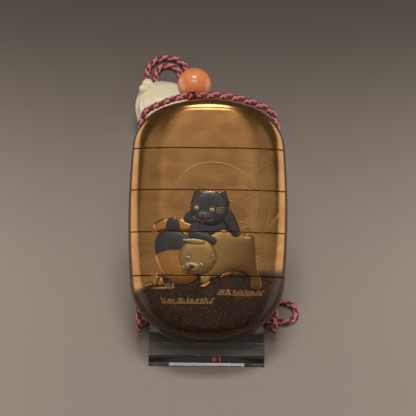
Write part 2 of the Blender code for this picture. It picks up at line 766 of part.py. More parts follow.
# Routes of the cord, in millimetres on the table and in the case's own frame
LEFT_TAIL = [
    (-19.75, 131.8, 4.2), (-19.75, 136.6, 4.2), (-19.9, 141.0, 2.5), (-20.9, 146.5, 1.25),
    (-22.0, 152.0, 1.25), (-20.9, 157.6, 1.25), (-16.9, 160.0, 1.25), (-13.0, 157.4, 1.25),
    (-12.0, 151.5, 1.25), (-11.2, 144.5, 1.25), (-9.3, 134.0, 1.25), (-7.7, 124.0, 1.25),
    (-7.4, 116.0, 1.25), (-7.1, 106.0, 1.25), (-6.9, 96.0, 1.4), (-6.85, 90.0, 2.8), (-6.85, 86.8, 7.2),
    (-6.85, 85.6, 15.0), (-6.85, 85.4, 30.0), (-6.85, 85.3, 45.0), (-6.85, 85.3, 56.4), (-6.85, 85.2, 61.6),
    (-6.85, 83.9, 64.9), (-6.85, 80.3, 66.2), (-6.85, 76.5, 66.2), (-6.85, 72.9, 66.2),
]
RIGHT_TAIL = [
    (-22.45, 131.8, 4.2), (-22.45, 136.6, 4.2), (-22.9, 141.3, 2.5), (-24.2, 147.0, 1.25),
    (-25.4, 153.5, 1.25), (-24.4, 160.2, 1.25), (-20.4, 164.0, 1.25), (-15.2, 164.4, 1.25),
    (-10.9, 161.0, 1.25), (-9.0, 154.5, 1.25), (-8.1, 146.5, 1.25), (-6.6, 137.0, 1.25),
    (-5.2, 129.0, 1.25), (-4.7, 121.0, 1.25), (-4.4, 110.0, 1.25), (-4.2, 97.0, 1.4), (-4.15, 90.0, 2.8),
    (-4.15, 86.8, 7.2), (-4.15, 85.6, 15.0), (-4.15, 85.4, 30.0), (-4.15, 85.3, 45.0),
    (-4.15, 85.3, 56.4), (-4.15, 85.2, 61.6), (-4.15, 83.9, 64.9), (-4.15, 80.3, 66.2),
    (-4.15, 76.5, 66.2), (-4.15, 72.9, 66.2),
]
LEFT_OVER_LID = [
    (-6.85, 1.8, 46.25), (-6.9, -0.5, 45.7), (-8.3, -3.5, 45.35), (-11.6, -4.9, 44.6), (-15.5, -3.6, 43.55),
    (-19.3, -1.7, 42.1), (-22.7, -0.4, 40.45), (-24.5, 0.0, 38.5), (-24.95, 0.0, 36.2), (-24.9, 0.0, 32.35),
]
RIGHT_OVER_LID = [
    (-4.15, 1.8, 46.3), (-4.1, -0.5, 45.9), (-2.7, -3.5, 45.75), (0.7, -4.9, 45.72), (5.0, -4.6, 45.52),
    (10.0, -4.1, 44.85), (15.0, -3.2, 43.75), (19.3, -1.7, 42.1), (22.7, -0.4, 40.45), (24.5, 0.0, 38.5),
    (24.95, 0.0, 36.2), (24.9, 0.0, 32.35),
]
IN_CHANNEL = [20.0, 5.0, -10.0, -24.0, -30.85]
BELOW_CASE = [(0.1, -34.55), (2.0, -37.85), (5.3, -39.55)]
LEFT_TO_KNOT = [
    (-24.9, 9.9, 4.2), (-24.7, 13.3, 1.6), (-22.9, 16.6, 1.25), (-18.5, 18.9, 1.25), (-12.0, 20.6, 1.25),
    (-6.0, 22.6, 1.25), (-2.6, 24.3, 1.25),
]
RIGHT_TO_KNOT = [
    (24.9, 9.9, 4.2), (24.6, 13.3, 1.6), (22.6, 16.4, 1.25), (18.0, 18.2, 1.25), (13.0, 20.2, 1.25),
    (9.0, 23.0, 1.25),
]
RIGHT_LOOP = [
    (9.0, 26.2, 1.25), (13.4, 24.6, 1.25), (18.6, 21.9, 1.25), (23.6, 18.9, 1.25), (27.8, 16.9, 1.25),
    (31.7, 17.6, 1.25), (33.45, 21.2, 1.25), (32.4, 24.9, 1.25), (28.8, 26.7, 1.25), (22.0, 27.9, 1.25),
    (15.0, 29.2, 1.25), (8.9, 29.2, 1.25),
]
LEFT_LOOP = [
    (-2.9, 27.3, 1.25), (-8.0, 25.6, 1.25), (-13.6, 24.8, 1.25), (-17.3, 26.4, 1.25), (-18.7, 30.0, 1.25),
    (-17.2, 33.6, 1.25), (-13.6, 35.1, 1.25), (-8.0, 34.3, 1.25), (-2.6, 31.2, 1.25),
]


def table_route(points):
    """A route given in millimetres on the table, in metres."""
    return [Vector(point) / 1000 for point in points]


def case_route(points):
    """A route given in millimetres in the case's frame, as world places in metres."""
    return [on_case(*(Vector(point) / 1000)) for point in points]


def build_cords():
    """The two long runs of the cord and the two loops of its bow."""
    silk = material("silk_cord", SILK, 0.75)
    runs = (
        ("cord_left", -1, LEFT_TAIL, LEFT_OVER_LID, LEFT_TO_KNOT),
        ("cord_right", 1, RIGHT_TAIL, RIGHT_OVER_LID, RIGHT_TO_KNOT),
    )
    for name, side, tail, over_lid, to_knot in runs:
        x = side * CHANNEL_X * 1000
        inside = [(x, 0.0, z) for z in IN_CHANNEL] + [(x, y, z) for y, z in BELOW_CASE]
        tube(name, table_route(tail) + case_route(over_lid + inside) + table_route(to_knot), silk)
    tube("bow_loop_right", table_route(RIGHT_LOOP), silk)
    tube("bow_loop_left", table_route(LEFT_LOOP), silk)


def main():
    """Clears the scene and builds every piece."""
    for old in list(bpy.data.objects):
        bpy.data.objects.remove(old, do_unlink=True)
    build_stand()
    build_case()
    build_bead()
    build_netsuke()
    build_knot()
    build_cords()


main()
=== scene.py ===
"""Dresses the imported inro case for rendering.

The case is five stacked tiers of gold lacquer with a raised picture, strung on a braided silk cord with a
coral bead and an ivory toggle, and it leans on a clear acrylic stand. Everything is in metres, in the frame
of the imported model. Places on the case are given in its own upright frame, whose -Y is its front.
"""

import logging
import math
from dataclasses import dataclass, field
from enum import Enum
from typing import Any, Callable, Iterable, Sequence

import bmesh
import bpy
import numpy as np
from mathutils import Matrix, Vector

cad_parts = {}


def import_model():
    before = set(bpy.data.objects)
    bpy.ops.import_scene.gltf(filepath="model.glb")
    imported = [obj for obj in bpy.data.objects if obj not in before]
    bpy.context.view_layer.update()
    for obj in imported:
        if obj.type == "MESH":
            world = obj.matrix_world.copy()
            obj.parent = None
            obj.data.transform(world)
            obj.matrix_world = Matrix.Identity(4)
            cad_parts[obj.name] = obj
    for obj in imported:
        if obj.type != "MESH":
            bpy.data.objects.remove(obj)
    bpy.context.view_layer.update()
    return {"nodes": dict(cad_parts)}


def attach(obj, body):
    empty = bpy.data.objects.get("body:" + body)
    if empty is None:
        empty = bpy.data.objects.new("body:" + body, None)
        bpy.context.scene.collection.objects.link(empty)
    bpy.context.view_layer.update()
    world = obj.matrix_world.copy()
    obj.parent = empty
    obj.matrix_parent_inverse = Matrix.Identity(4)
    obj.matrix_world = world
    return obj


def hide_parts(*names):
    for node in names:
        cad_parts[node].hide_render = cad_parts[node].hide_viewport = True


LOG = logging.getLogger("inro")
MM = 0.001
BODY = "root"

Point2 = tuple[float, float]
Point3 = tuple[float, float, float]
Colour = tuple[float, float, float]


# Node graphs


def operator(operation: str, turned: bool = False) -> Callable[..., "Wire"]:
    """A method of Wire that adds one Math node, with its two values turned about where asked."""

    def method(self: "Wire", *others: Any) -> "Wire":
        """Adds the node."""
        values = (*others, self) if turned else (self, *others)
        return self.graph.add("ShaderNodeMath", {"operation": operation}, dict(enumerate(values)))

    return method


class Wire:
    """An output socket that takes part in Python expressions."""

    def __init__(self, graph: "Graph", socket: bpy.types.NodeSocket) -> None:
        """Keeps the socket and the graph that new nodes go into."""
        self.graph = graph
        self.socket = socket

    __add__ = __radd__ = operator("ADD")
    __mul__ = __rmul__ = operator("MULTIPLY")
    __sub__, __rsub__ = operator("SUBTRACT"), operator("SUBTRACT", turned=True)
    __truediv__ = operator("DIVIDE")
    modulo, floor = operator("MODULO"), operator("FLOOR")
    sine, cosine = operator("SINE"), operator("COSINE")

    def ramp(self, low: float, high: float) -> "Wire":
        """Rises smoothly from 0 at low to 1 at high."""
        settings = {"interpolation_type": "SMOOTHSTEP"}
        return self.graph.add("ShaderNodeMapRange", settings, {0: self, 1: low, 2: high})


class Graph:
    """A node tree that nodes are added to through one method."""

    def __init__(self, tree: bpy.types.NodeTree) -> None:
        """Keeps the tree."""
        self.tree = tree

    def add(self, kind: str, settings: dict[str, Any] | None = None,
            inputs: dict[int | str, Any] | None = None, output: int | str = 0) -> Wire:
        """Adds a node.

        Args:
            kind: The node's type.
            settings: Its properties, set before its sockets.
            inputs: Numbers, colours, vectors or wires by the socket's index or name.
            output: Which output the wire stands for.

        Returns:
            The wire of that output.
        """
        node = self.tree.nodes.new(kind)
        for name, value in (settings or {}).items():
            setattr(node, name, value)
        for key, value in (inputs or {}).items():
            if isinstance(value, Wire):
                self.tree.links.new(value.socket, node.inputs[key])
            else:
                node.inputs[key].default_value = value
        return Wire(self, node.outputs[output])

    def colour(self, factor: Any, first: Any, second: Any) -> Wire:
        """Mixes two colours by a factor."""
        first = (*first, 1.0) if isinstance(first, tuple) else first
        second = (*second, 1.0) if isinstance(second, tuple) else second
        return self.add("ShaderNodeMix", {"data_type": "RGBA"}, {0: factor, 6: first, 7: second}, 2)

    def number(self, factor: Any, first: Any, second: Any) -> Wire:
        """Mixes two numbers by a factor."""
        return self.add("ShaderNodeMix", {"data_type": "FLOAT"}, {0: factor, 2: first, 3: second}, 0)

    def attribute(self, name: str) -> Wire:
        """A number kept on the mesh."""
        return self.add("ShaderNodeAttribute", {"attribute_name": name}, output="Fac")

    def place(self) -> Wire:
        """Object coordinates, in metres."""
        return self.add("ShaderNodeTexCoord", output="Object")

    def moved(self, place: Wire, scale: Point3, centre: Point3 = (0, 0, 0), turn: Point3 = (0, 0, 0)) -> Wire:
        """A place seen from a centre, turned back and divided by a scale."""
        values = {"Vector": place, "Location": centre, "Rotation": turn, "Scale": scale}
        return self.add("ShaderNodeMapping", {"vector_type": "TEXTURE"}, values)

    def noise(self, place: Wire, scale: float = 1.0, detail: float = 3.0, rough: float = 0.5) -> Wire:
        """Fractal noise from 0 to 1."""
        return self.add("ShaderNodeTexNoise", None,
                        {"Vector": place, "Scale": scale, "Detail": detail, "Roughness": rough})

    def bump(self, height: Wire, distance: float, strength: float = 1.0) -> Wire:
        """A normal bent by a height."""
        return self.add("ShaderNodeBump", None, {"Height": height, "Distance": distance, "Strength": strength})


def new_material(name: str) -> tuple[bpy.types.Material, Graph, bpy.types.Node]:
    """A node material with its graph and its Principled shader."""
    made = bpy.data.materials.new(name)
    made.use_nodes = True
    return made, Graph(made.node_tree), made.node_tree.nodes["Principled BSDF"]


def wear(graph: Graph, shader: bpy.types.Node, values: dict[str, Any]) -> None:
    """Sets a shader's sockets to numbers, colours or wires.

    Args:
        graph: The shader's graph.
        shader: The shader node.
        values: What goes into each socket, by its name.
    """
    for name, value in values.items():
        if isinstance(value, Wire):
            graph.tree.links.new(value.socket, shader.inputs[name])
        elif isinstance(value, tuple) and len(value) == 3 and shader.inputs[name].type == "RGBA":
            shader.inputs[name].default_value = (*value, 1.0)
        else:
            shader.inputs[name].default_value = value


# The case's own shape


@dataclass(frozen=True)
class CaseShape:
    """Outside of the closed case, the same as in the solid model."""

    height: float = 0.0887
    width: float = 0.0586
    depth: float = 0.022
    power: float = 2.8
    end_radius: float = 0.0509
    side_radius: float = 0.291
    shoulder_radius: float = 0.0175
    foot_radius: float = 0.0218
    edge_round: float = 0.005
    lean: float = math.radians(40.5)
    centre: Point3 = (0.0, 0.033696, 0.037817)

    def outline(self, corner: float) -> tuple[np.ndarray, float, float]:
        """Corner arc between the end arc and the side arc.

        Args:
            corner: The corner's radius.

        Returns:
            Its centre, and the heights where the end arc and the side arc meet it.
        """
        end = np.array((0.0, self.height / 2 - self.end_radius))
        side = np.array((self.width / 2 - self.side_radius, 0.0))
        to_end, to_side = self.end_radius - corner, self.side_radius - corner
        span = np.linalg.norm(side - end)
        along = (to_end**2 - to_side**2 + span**2) / (2 * span)
        across = math.sqrt(to_end**2 - along**2)
        way = (side - end) / span
        centre = end + along * way + across * np.array((-way[1], way[0]))
        if centre[1] < 0:
            centre = end + along * way - across * np.array((-way[1], way[0]))
        on_end = end + (centre - end) * self.end_radius / to_end
        on_side = side + (centre - side) * self.side_radius / to_side
        return centre, float(on_end[1]), float(on_side[1])

    def half_width(self, z: np.ndarray) -> np.ndarray:
        """Half the width at each height."""
        z = np.asarray(z, dtype=float)
        up = np.minimum(np.abs(z), self.height / 2)
        result = np.zeros_like(up)
        for part, radius in ((z >= 0, self.shoulder_radius), (z < 0, self.foot_radius)):
            centre, end_from, side_to = self.outline(radius)
            on_end = np.sqrt(np.maximum(self.end_radius**2 - (up - self.height / 2 + self.end_radius) ** 2, 0))
            on_corner = centre[0] + np.sqrt(np.maximum(radius**2 - (up - centre[1]) ** 2, 0))
            on_side = self.width / 2 - self.side_radius + np.sqrt(self.side_radius**2 - up * up)
            half = np.where(up >= end_from, on_end, np.where(up >= side_to, on_corner, on_side))
            result = np.where(part, half, result)
        return result

    def half_depth(self, z: np.ndarray) -> np.ndarray:
        """Half the depth at each height, rounded over at both ends."""
        over = np.clip(np.abs(z) - (self.height / 2 - self.edge_round), 0, self.edge_round)
        return self.depth / 2 - self.edge_round + np.sqrt(self.edge_round**2 - over**2)

    def superellipse(self, share: np.ndarray) -> np.ndarray:
        """Depth of the section at a share of its half width, as a share of its half depth."""
        return (1 - np.minimum(np.abs(share), 1.0) ** self.power) ** (1 / self.power)

    def front(self, x: np.ndarray, z: np.ndarray) -> np.ndarray:
        """How far the bare front lies before the case's middle plane."""
        return self.half_depth(z) * self.superellipse(x / np.maximum(self.half_width(z), 1e-6))

    def to_world(self) -> Matrix:
        """The matrix that leans the case back on its stand."""
        return Matrix.Translation(self.centre) @ Matrix.Rotation(self.lean - math.pi / 2, 4, "X")

    def on_case(self, point: Point3) -> Vector:
        """World place of a point in the case's frame."""
        return self.to_world() @ Vector(point)


# The raised picture


class Tint(Enum):
    """What the picture is laid in."""

    GILT = "gilt"
    AMBER = "amber"
    SLATE = "slate"
    LINE = "fine_gold"
    FAINT = "faint_gold"
    INK = "ink"
    PALE = "pale"
    RED = "red"


@dataclass(frozen=True)
class Mound:
    """A raised area: its outline in millimetres on the front, its height at the edge and how far it swells.

    Its edge is rounded over some millimetres, its outline's corners are cut some times, and it may be added to
    what lies below it.
    """

    tint: Tint
    outline: tuple[Point2, ...]
    base: float
    swell: float
    rounding: float = 2.2
    smooth: int = 2
    added: bool = False


@dataclass(frozen=True)
class Dye:
    """A change of tint inside an outline, with no change of height."""

    tint: Tint
    outline: tuple[Point2, ...]
    soft: float = 0.5


@dataclass(frozen=True)
class Stroke:
    """A thin line along points, in millimetres on the front."""

    tint: Tint
    points: tuple[Point2, ...]
    width: float
    rise: float
    strength: float = 1.0


def pairs(*numbers: float) -> tuple[Point2, ...]:
    """Numbers taken two by two."""
    return tuple(zip(numbers[::2], numbers[1::2]))


def threes(*numbers: float) -> tuple[Point3, ...]:
    """Numbers taken three by three."""
    return tuple(zip(numbers[::3], numbers[1::3], numbers[2::3]))


def turned(degrees: float) -> Point2:
    """Cosine and sine of a turn."""
    return math.cos(math.radians(degrees)), math.sin(math.radians(degrees))


def cut_corners(points: Sequence[Point2], closed: bool, rounds: int) -> np.ndarray:
    """Smooths a line by cutting its corners.

    Args:
        points: The line's points.
        closed: Whether its end joins its start.
        rounds: How often every corner is cut.

    Returns:
        The smoothed points, one a row.
    """
    line = np.array(points, dtype=float)
    for _ in range(rounds):
        after = np.roll(line, -1, axis=0)
        pairs = np.stack((line * 0.75 + after * 0.25, line * 0.25 + after * 0.75), axis=1)
        if closed:
            line = pairs.reshape(-1, 2)
        else:
            line = np.concatenate((line[:1], pairs[:-1].reshape(-1, 2), line[-1:]))
    return line


def line_distance(x: np.ndarray, z: np.ndarray, line: np.ndarray, closed: bool) -> np.ndarray:
    """Distance from places to a line of straight runs."""
    starts, ends = (line, np.roll(line, -1, axis=0)) if closed else (line[:-1], line[1:])
    nearest = np.full(x.shape, 1e9)
    for (ax, az), (bx, bz) in zip(starts, ends):
        run = (bx - ax) ** 2 + (bz - az) ** 2 + 1e-12
        share = np.clip(((x - ax) * (bx - ax) + (z - az) * (bz - az)) / run, 0, 1)
        nearest = np.minimum(nearest, np.hypot(x - ax - share * (bx - ax), z - az - share * (bz - az)))
    return nearest


def inside(x: np.ndarray, z: np.ndarray, line: np.ndarray) -> np.ndarray:
    """Whether places lie inside a closed line."""
    within = np.zeros(x.shape, dtype=bool)
    for (ax, az), (bx, bz) in zip(line, np.roll(line, -1, axis=0)):
        crosses = (az > z) != (bz > z)
        at = ax + (z - az) * (bx - ax) / (bz - az if bz != az else 1e-12)
        within ^= crosses & (x < at)
    return within


@dataclass
class Picture:
    """The raised picture: three puppies at play under a moon, with bamboo and grass."""

    items: list[Mound | Dye | Stroke] = field(default_factory=list)
    seed: int = 7
    lift: float = -0.38
    edge: float = 0.16
    raised_from: float = 0.05

    def mound(self, tint: Tint, base: float, swell: float, rounding: float, *outline: float, smooth: int = 2) -> None:
        """Adds a mound, its outline's numbers taken two by two."""
        self.items.append(Mound(tint, pairs(*outline), base, swell, rounding, smooth))

    def stroke(self, tint: Tint, width: float, rise: float, strength: float, *points: float) -> None:
        """Adds a stroke, its points' numbers taken two by two."""
        self.items.append(Stroke(tint, pairs(*points), width, rise, strength))

    def limb(self, tint: Tint, start: Point2, end: Point2, radii: Point2, base: float, swell: float) -> None:
        """Adds a limb as a long mound that ends round at both ends."""
        a, b = np.array(start), np.array(end)
        way = (b - a) / np.linalg.norm(b - a)
        side = np.array((-way[1], way[0]))
        outline = []
        for centre, radius, first in ((a, radii[0], 90), (b, radii[1], -90)):
            for turn in range(first, first + 181, 45):
                c, s = turned(turn)
                outline.append(tuple(centre + radius * 1.06 * (way * c + side * s)))
        self.items.append(Mound(tint, tuple(outline), base, swell, 1.6))

    def oval(self, tint: Tint, centre: Point2, half: Point2, base: float, swell: float, rounding: float,
             added: bool = False) -> None:
        """Adds an oval mound, by itself or on top of what lies below it."""
        turns = np.linspace(0, 2 * math.pi, 16, endpoint=False)
        outline = tuple((centre[0] + half[0] * math.cos(a) * 1.03, centre[1] + half[1] * math.sin(a) * 1.03)
                        for a in turns)
        self.items.append(Mound(tint, outline, base, swell, rounding, added=added))

    def eye(self, centre: Point2, size: float) -> None:
        """Adds a small round eye: a dark rim, a pale ball and a dark pupil."""
        x, z = centre
        self.stroke(Tint.INK, size * 1.75, 0.02, 1.0, x - 0.15, z, x + 0.15, z)
        self.stroke(Tint.PALE, size * 1.25, 0.05, 1.0, x - 0.1, z, x + 0.1, z)
        self.stroke(Tint.INK, size * 0.72, 0.01, 1.0, x - 0.16, z - 0.14, x - 0.02, z - 0.16)

    def face(self, centre: Point2, tilt: float, size: float, muzzle: Tint) -> None:
        """Adds a plain puppy face: two eyes, a nose, a curved mouth, a tongue and whiskers.

        Args:
            centre: Middle of the face.
            tilt: Its turn in degrees.
            size: Its scale.
            muzzle: Tint of the muzzle's swelling.
        """
        c, s = turned(tilt)

        def at(x: float, z: float) -> Point2:
            """A place in the face's own directions."""
            return centre[0] + size * (c * x - s * z), centre[1] + size * (s * x + c * z)

        self.oval(muzzle, at(0.0, -3.1), (3.5 * size, 2.1 * size), 0.0, 0.24, 2.0, True)
        for side in (-1, 1):
            self.oval(muzzle, at(1.45 * side, -3.5), (1.5 * size, 1.0 * size), 0.0, 0.10, 0.9, True)
            self.eye(at(2.85 * side, 0.0), 1.0 * size)
            self.stroke(Tint.INK, 0.24, 0.0, 0.6, *at(1.9 * side, 1.35), *at(3.1 * side, 1.6), *at(4.1 * side, 0.9))
            mouth = (*at(0, -3.5), *at(0.9 * side, -4.5), *at(2.4 * side, -4.45), *at(3.6 * side, -3.5))
            self.stroke(Tint.INK, 0.42, -0.05, 1.0, *mouth)
            lip = (number for x, z in pairs(*mouth[2:]) for number in (x, z + 0.34))
            self.stroke(Tint.PALE, 0.24, 0.02, 0.45, *lip)
            for rise in (1.1, 0.2, -0.7):
                self.stroke(Tint.LINE, 0.22, 0.02, 0.6, *at(4.5 * side, rise * 0.8), *at(6.9 * side, rise + 0.3))
        self.stroke(Tint.INK, 1.15 * size, 0.05, 1.0, *at(-0.6, -2.1), *at(0.6, -2.1), *at(0, -2.6))
        self.stroke(Tint.RED, 0.85 * size, 0.04, 1.0, *at(-0.15, -4.75), *at(0.12, -4.85))

    def blades(self, low: float, high: float, foot: float, rise: float, count: int, seed: int) -> None:
        """Adds a row of short grass blades along a foot line."""
        draw = np.random.default_rng(seed)
        for number in range(count):
            x = low + (high - low) * (number + draw.uniform(0.1, 0.9)) / count
            length = rise * draw.uniform(0.55, 1.1)
            lean = draw.uniform(-0.9, 0.9)
            self.stroke(Tint.LINE, draw.uniform(0.20, 0.32), 0.05, 0.8, x, foot,
                        x + lean * 0.4 * length, foot + length * 0.6, x + lean * length, foot + length)
        self.stroke(Tint.LINE, 0.26, 0.05, 0.7, low, foot + 0.1, (low + high) / 2, foot - 0.15, high, foot + 0.1)

    def spray(self, root: Point2, *tips: float) -> None:
        """Adds long thin bamboo leaves that fan out from one point."""
        for x, z in pairs(*tips):
            self.stroke(Tint.FAINT, 0.5, 0.012, 0.7, *root, (root[0] + x) / 2, (root[1] + z) / 2 + 0.25, x, z)

    def draw(self) -> None:
        """Lays out the whole picture, from the back to the front."""
        self.draw_ground()
        self.draw_piebald_puppy()
        self.draw_gold_body()
        self.draw_dark_puppy()
        self.draw_gold_head()
        self.draw_grass()

    def draw_ground(self) -> None:
        """The moon, the hills, and the bamboo's stems and leaves."""
        self.stroke(Tint.FAINT, 0.42, 0.02, 0.9, -10.9, 12.4, -10.2, 14.5, -7.4, 17.4, -3.7, 19.4, 0.7, 20.1,
                    5.2, 19.8, 9.7, 18.2, 13.9, 15.6, 16.2, 13.6)
        self.stroke(Tint.FAINT, 0.34, 0.02, 0.75, 7.2, 6.2, 10.5, 5.4, 14.1, 2.6, 17.0, -1.5, 18.6, -5.5)
        self.stroke(Tint.FAINT, 0.34, 0.02, 0.75, 10.5, -1.5, 14.1, -2.1, 17.0, -3.9)
        for stem in ((19.2, -15.2, 19.4, 15.6), (20.7, -15.6, 20.3, 8.2), (21.4, -14.6, 22.2, 3.0),
                     (20.9, -8.0, 26.0, 2.6)):
            self.stroke(Tint.FAINT, 0.36, 0.012, 0.7, *stem)
        self.spray((18.5, 17.5), 13.5, 14.8, 14.8, 22.6, 12.4, 19.5, 20.9, 23.8, 23.4, 20.7)
        self.spray((18.3, 8.8), 11.8, 11.4, 12.0, 5.7, 17.9, 2.0, 22.2, 14.8, 24.2, 6.9, 16.0, 16.2)
        self.spray((21.1, -4.6), 25.8, 1.3, 22.6, 4.5, 26.6, 2.4, 24.9, 7.9)

    def draw_piebald_puppy(self) -> None:
        """The piebald puppy, which sits with its back turned."""
        self.mound(Tint.AMBER, 0.30, 0.62, 5.0, -18.0, -6.0, -13.5, -4.2, -8.5, -5.8, -4.5, -10.0, -2.6, -16.0,
                   -3.0, -22.0, -7.0, -24.6, -12.5, -24.0, -17.0, -19.6, -19.2, -13.5, -19.6, -9.4)
        patch = (-19.9, -14.6, -16.9, -13.0, -13.9, -12.1, -10.4, -12.3, -8.6, -11.0, -6.6, -8.0, -6.0, -3.6,
                 -14.0, -1.6, -20.6, -5.0, -21.4, -10.0)
        self.items.append(Dye(Tint.SLATE, pairs(*patch)))
        for side, x, z in ((-1, -20.0, -2.9), (1, -5.0, -2.6)):
            root = -12.8 + side * 2.0
            self.mound(Tint.AMBER, 0.34, 0.28, 1.2, root, -0.7, root + side * 2.2, -1.0, x, z,
                       x - side * 1.2, -5.0, root + side * 1.4, -5.4, root, -4.2)
        self.mound(Tint.SLATE, 0.42, 0.35, 1.6, -15.4, -5.6, -15.2, -2.0, -13.8, -0.5, -12.0, -0.3, -10.4, -1.6,
                   -10.0, -5.6)

    def draw_gold_body(self) -> None:
        """The dark puppy's shoulder, chest and haunch, then the gold puppy's body, tail and feet."""
        self.mound(Tint.SLATE, 0.30, 0.30, 1.6, -9.2, -1.6, -8.0, 1.4, -5.2, 2.6, -3.4, 0.6, -3.6, -2.6, -6.6, -2.8)
        self.mound(Tint.SLATE, 0.34, 0.34, 2.2, -6.2, -2.2, -2.0, 0.0, 4.0, 0.4, 7.6, 1.0, 8.6, -3.2, 5.6, -6.4,
                   1.6, -6.6, -1.4, -9.0, -5.4, -8.8, -6.6, -5.6)
        self.mound(Tint.AMBER, 0.30, 0.25, 0.9, 3.8, -22.0, 5.8, -20.0, 9.6, -18.6, 10.2, -19.2, 8.6, -20.6,
                   6.6, -21.6)
        self.mound(Tint.GILT, 0.42, 0.42, 3.4, -2.0, -8.6, 1.6, -6.4, 5.6, -4.2, 8.4, -5.6, 12.6, -6.6, 16.4, -6.5,
                   17.7, -9.0, 17.6, -14.6, 18.4, -19.8, 19.9, -24.0, 19.4, -26.2, 16.6, -26.7, 15.5, -25.4,
                   15.9, -22.8, 14.8, -20.8, 11.8, -19.6, 8.6, -19.6, 4.6, -21.0, 1.6, -22.6, -1.8, -23.2,
                   -5.0, -19.0, -5.0, -12.0)
        self.stroke(Tint.LINE, 0.5, 0.05, 0.7, 12.6, -4.2, 14.3, -3.3, 16.1, -4.2, 16.5, -6.2, 15.4, -7.6, 14.0, -7.4)
        self.mound(Tint.GILT, 0.5, 0.25, 0.9, -2.6, -21.4, 0.6, -21.2, 0.9, -23.2, -0.4, -24.8, -2.2, -24.4)
        self.mound(Tint.AMBER, 0.6, 0.2, 0.6, -2.8, -24.8, -0.6, -24.6, 0.8, -23.2, 1.6, -22.6, 1.0, -24.3,
                   -0.8, -25.7, -2.5, -25.6)
        for toe in (-0.9, 0.0, 0.9):
            self.stroke(Tint.INK, 0.2, -0.04, 0.6, 17.6 + toe, -26.3, 17.5 + toe, -25.3)

    def draw_dark_puppy(self) -> None:
        """The dark puppy's arms over the gold one, and its ears and head."""
        self.limb(Tint.SLATE, (6.8, 1.0), (10.2, -5.4), (2.1, 1.75), 0.72, 0.34)
        self.limb(Tint.SLATE, (-5.2, -6.6), (1.6, -8.7), (1.9, 1.65), 0.80, 0.34)
        for x, z, turn in ((10.6, -6.4, -60), (2.6, -9.2, -20)):
            c, s = turned(turn)
            for spread in (-0.85, 0.0, 0.85):
                foot = (x - s * spread - c * 0.4, z + c * spread - s * 0.4)
                self.stroke(Tint.INK, 0.24, -0.05, 1.0, *foot, foot[0] + c * 0.9, foot[1] + s * 0.9)
        for ear in ((-6.2, 5.0, -4.7, 10.3, -1.4, 8.4), (3.4, 8.4, 6.3, 9.7, 7.9, 4.6)):
            self.mound(Tint.SLATE, 0.66, 0.2, 0.5, *ear, smooth=0)
        self.mound(Tint.SLATE, 0.72, 0.62, 3.6, -6.6, 2.0, -6.3, 5.6, -4.4, 7.6, -1.6, 9.2, 1.2, 9.8, 4.2, 8.8,
                   6.3, 7.0, 7.5, 4.4, 7.6, 1.4, 6.0, -1.2, 3.0, -2.9, -0.4, -3.1, -4.0, -1.8, -6.0, 0.0)
        # Painted highlight: a pale line along the top of the dark head.
        self.stroke(Tint.PALE, 0.4, 0.03, 0.6, -1.8, 8.9, 0.2, 9.3, 2.4, 9.2)
        self.face((-1.4, 2.9), -7.0, 1.0, Tint.SLATE)

    def draw_gold_head(self) -> None:
        """The gold puppy's head and ears."""
        self.oval(Tint.GILT, (-3.5, -14.6), (6.75, 6.45), 0.78, 0.66, 3.6)
        # A dark ink outline in a shallow groove round the lower part of the gold head, which also stands in as
        # painted shade along the head's raised edge.
        rim = ((-3.5 + 6.85 * math.cos(a), -14.6 + 6.55 * math.sin(a)) for a in np.linspace(-3.6, 0.9, 22))
        self.items.append(Stroke(Tint.INK, tuple(rim), 0.26, -0.05, 0.7))
        self.mound(Tint.GILT, 1.22, 0.22, 0.7, -8.9, -8.3, -5.4, -8.0, -1.6, -8.5, -0.6, -9.8, -3.4, -10.4,
                   -7.2, -9.8)
        # Painted highlight: a pale line along the ear's upper edge.
        self.stroke(Tint.PALE, 0.42, 0.06, 1.0, -8.6, -8.45, -5.4, -8.2, -2.2, -8.6)
        self.mound(Tint.GILT, 1.18, 0.2, 0.8, 1.2, -13.2, 2.6, -14.0, 3.4, -16.0, 2.4, -16.9, 1.0, -15.6)
        self.stroke(Tint.INK, 0.24, -0.06, 0.8, 0.9, -14.2, 2.0, -15.2, 3.2, -16.6)
        self.face((-4.7, -16.2), -28.0, 0.95, Tint.GILT)

    def draw_grass(self) -> None:
        """The grass, and the leaves at the left."""
        self.blades(-15.2, -11.8, -25.9, 1.9, 7, self.seed)
        for leaf in ((-19.3, -24.9, -19.9, -22.6, -18.6, -19.9, -18.0, -22.8, -18.5, -24.9),
                     (-17.9, -24.9, -17.6, -23.0, -16.9, -21.9, -15.9, -24.0, -16.6, -25.0),
                     (-22.8, -25.0, -21.4, -23.9, -19.6, -24.6, -21.2, -25.4),
                     (-20.9, -26.2, -19.2, -25.6, -15.2, -25.7, -14.0, -26.2, -17.4, -26.5)):
            self.mound(Tint.AMBER, 0.10, 0.08, 0.5, *leaf)
        self.blades(-16.3, 1.8, -31.4, 1.9, 34, self.seed + 1)
        self.blades(3.6, 20.0, -28.2, 1.7, 30, self.seed + 2)

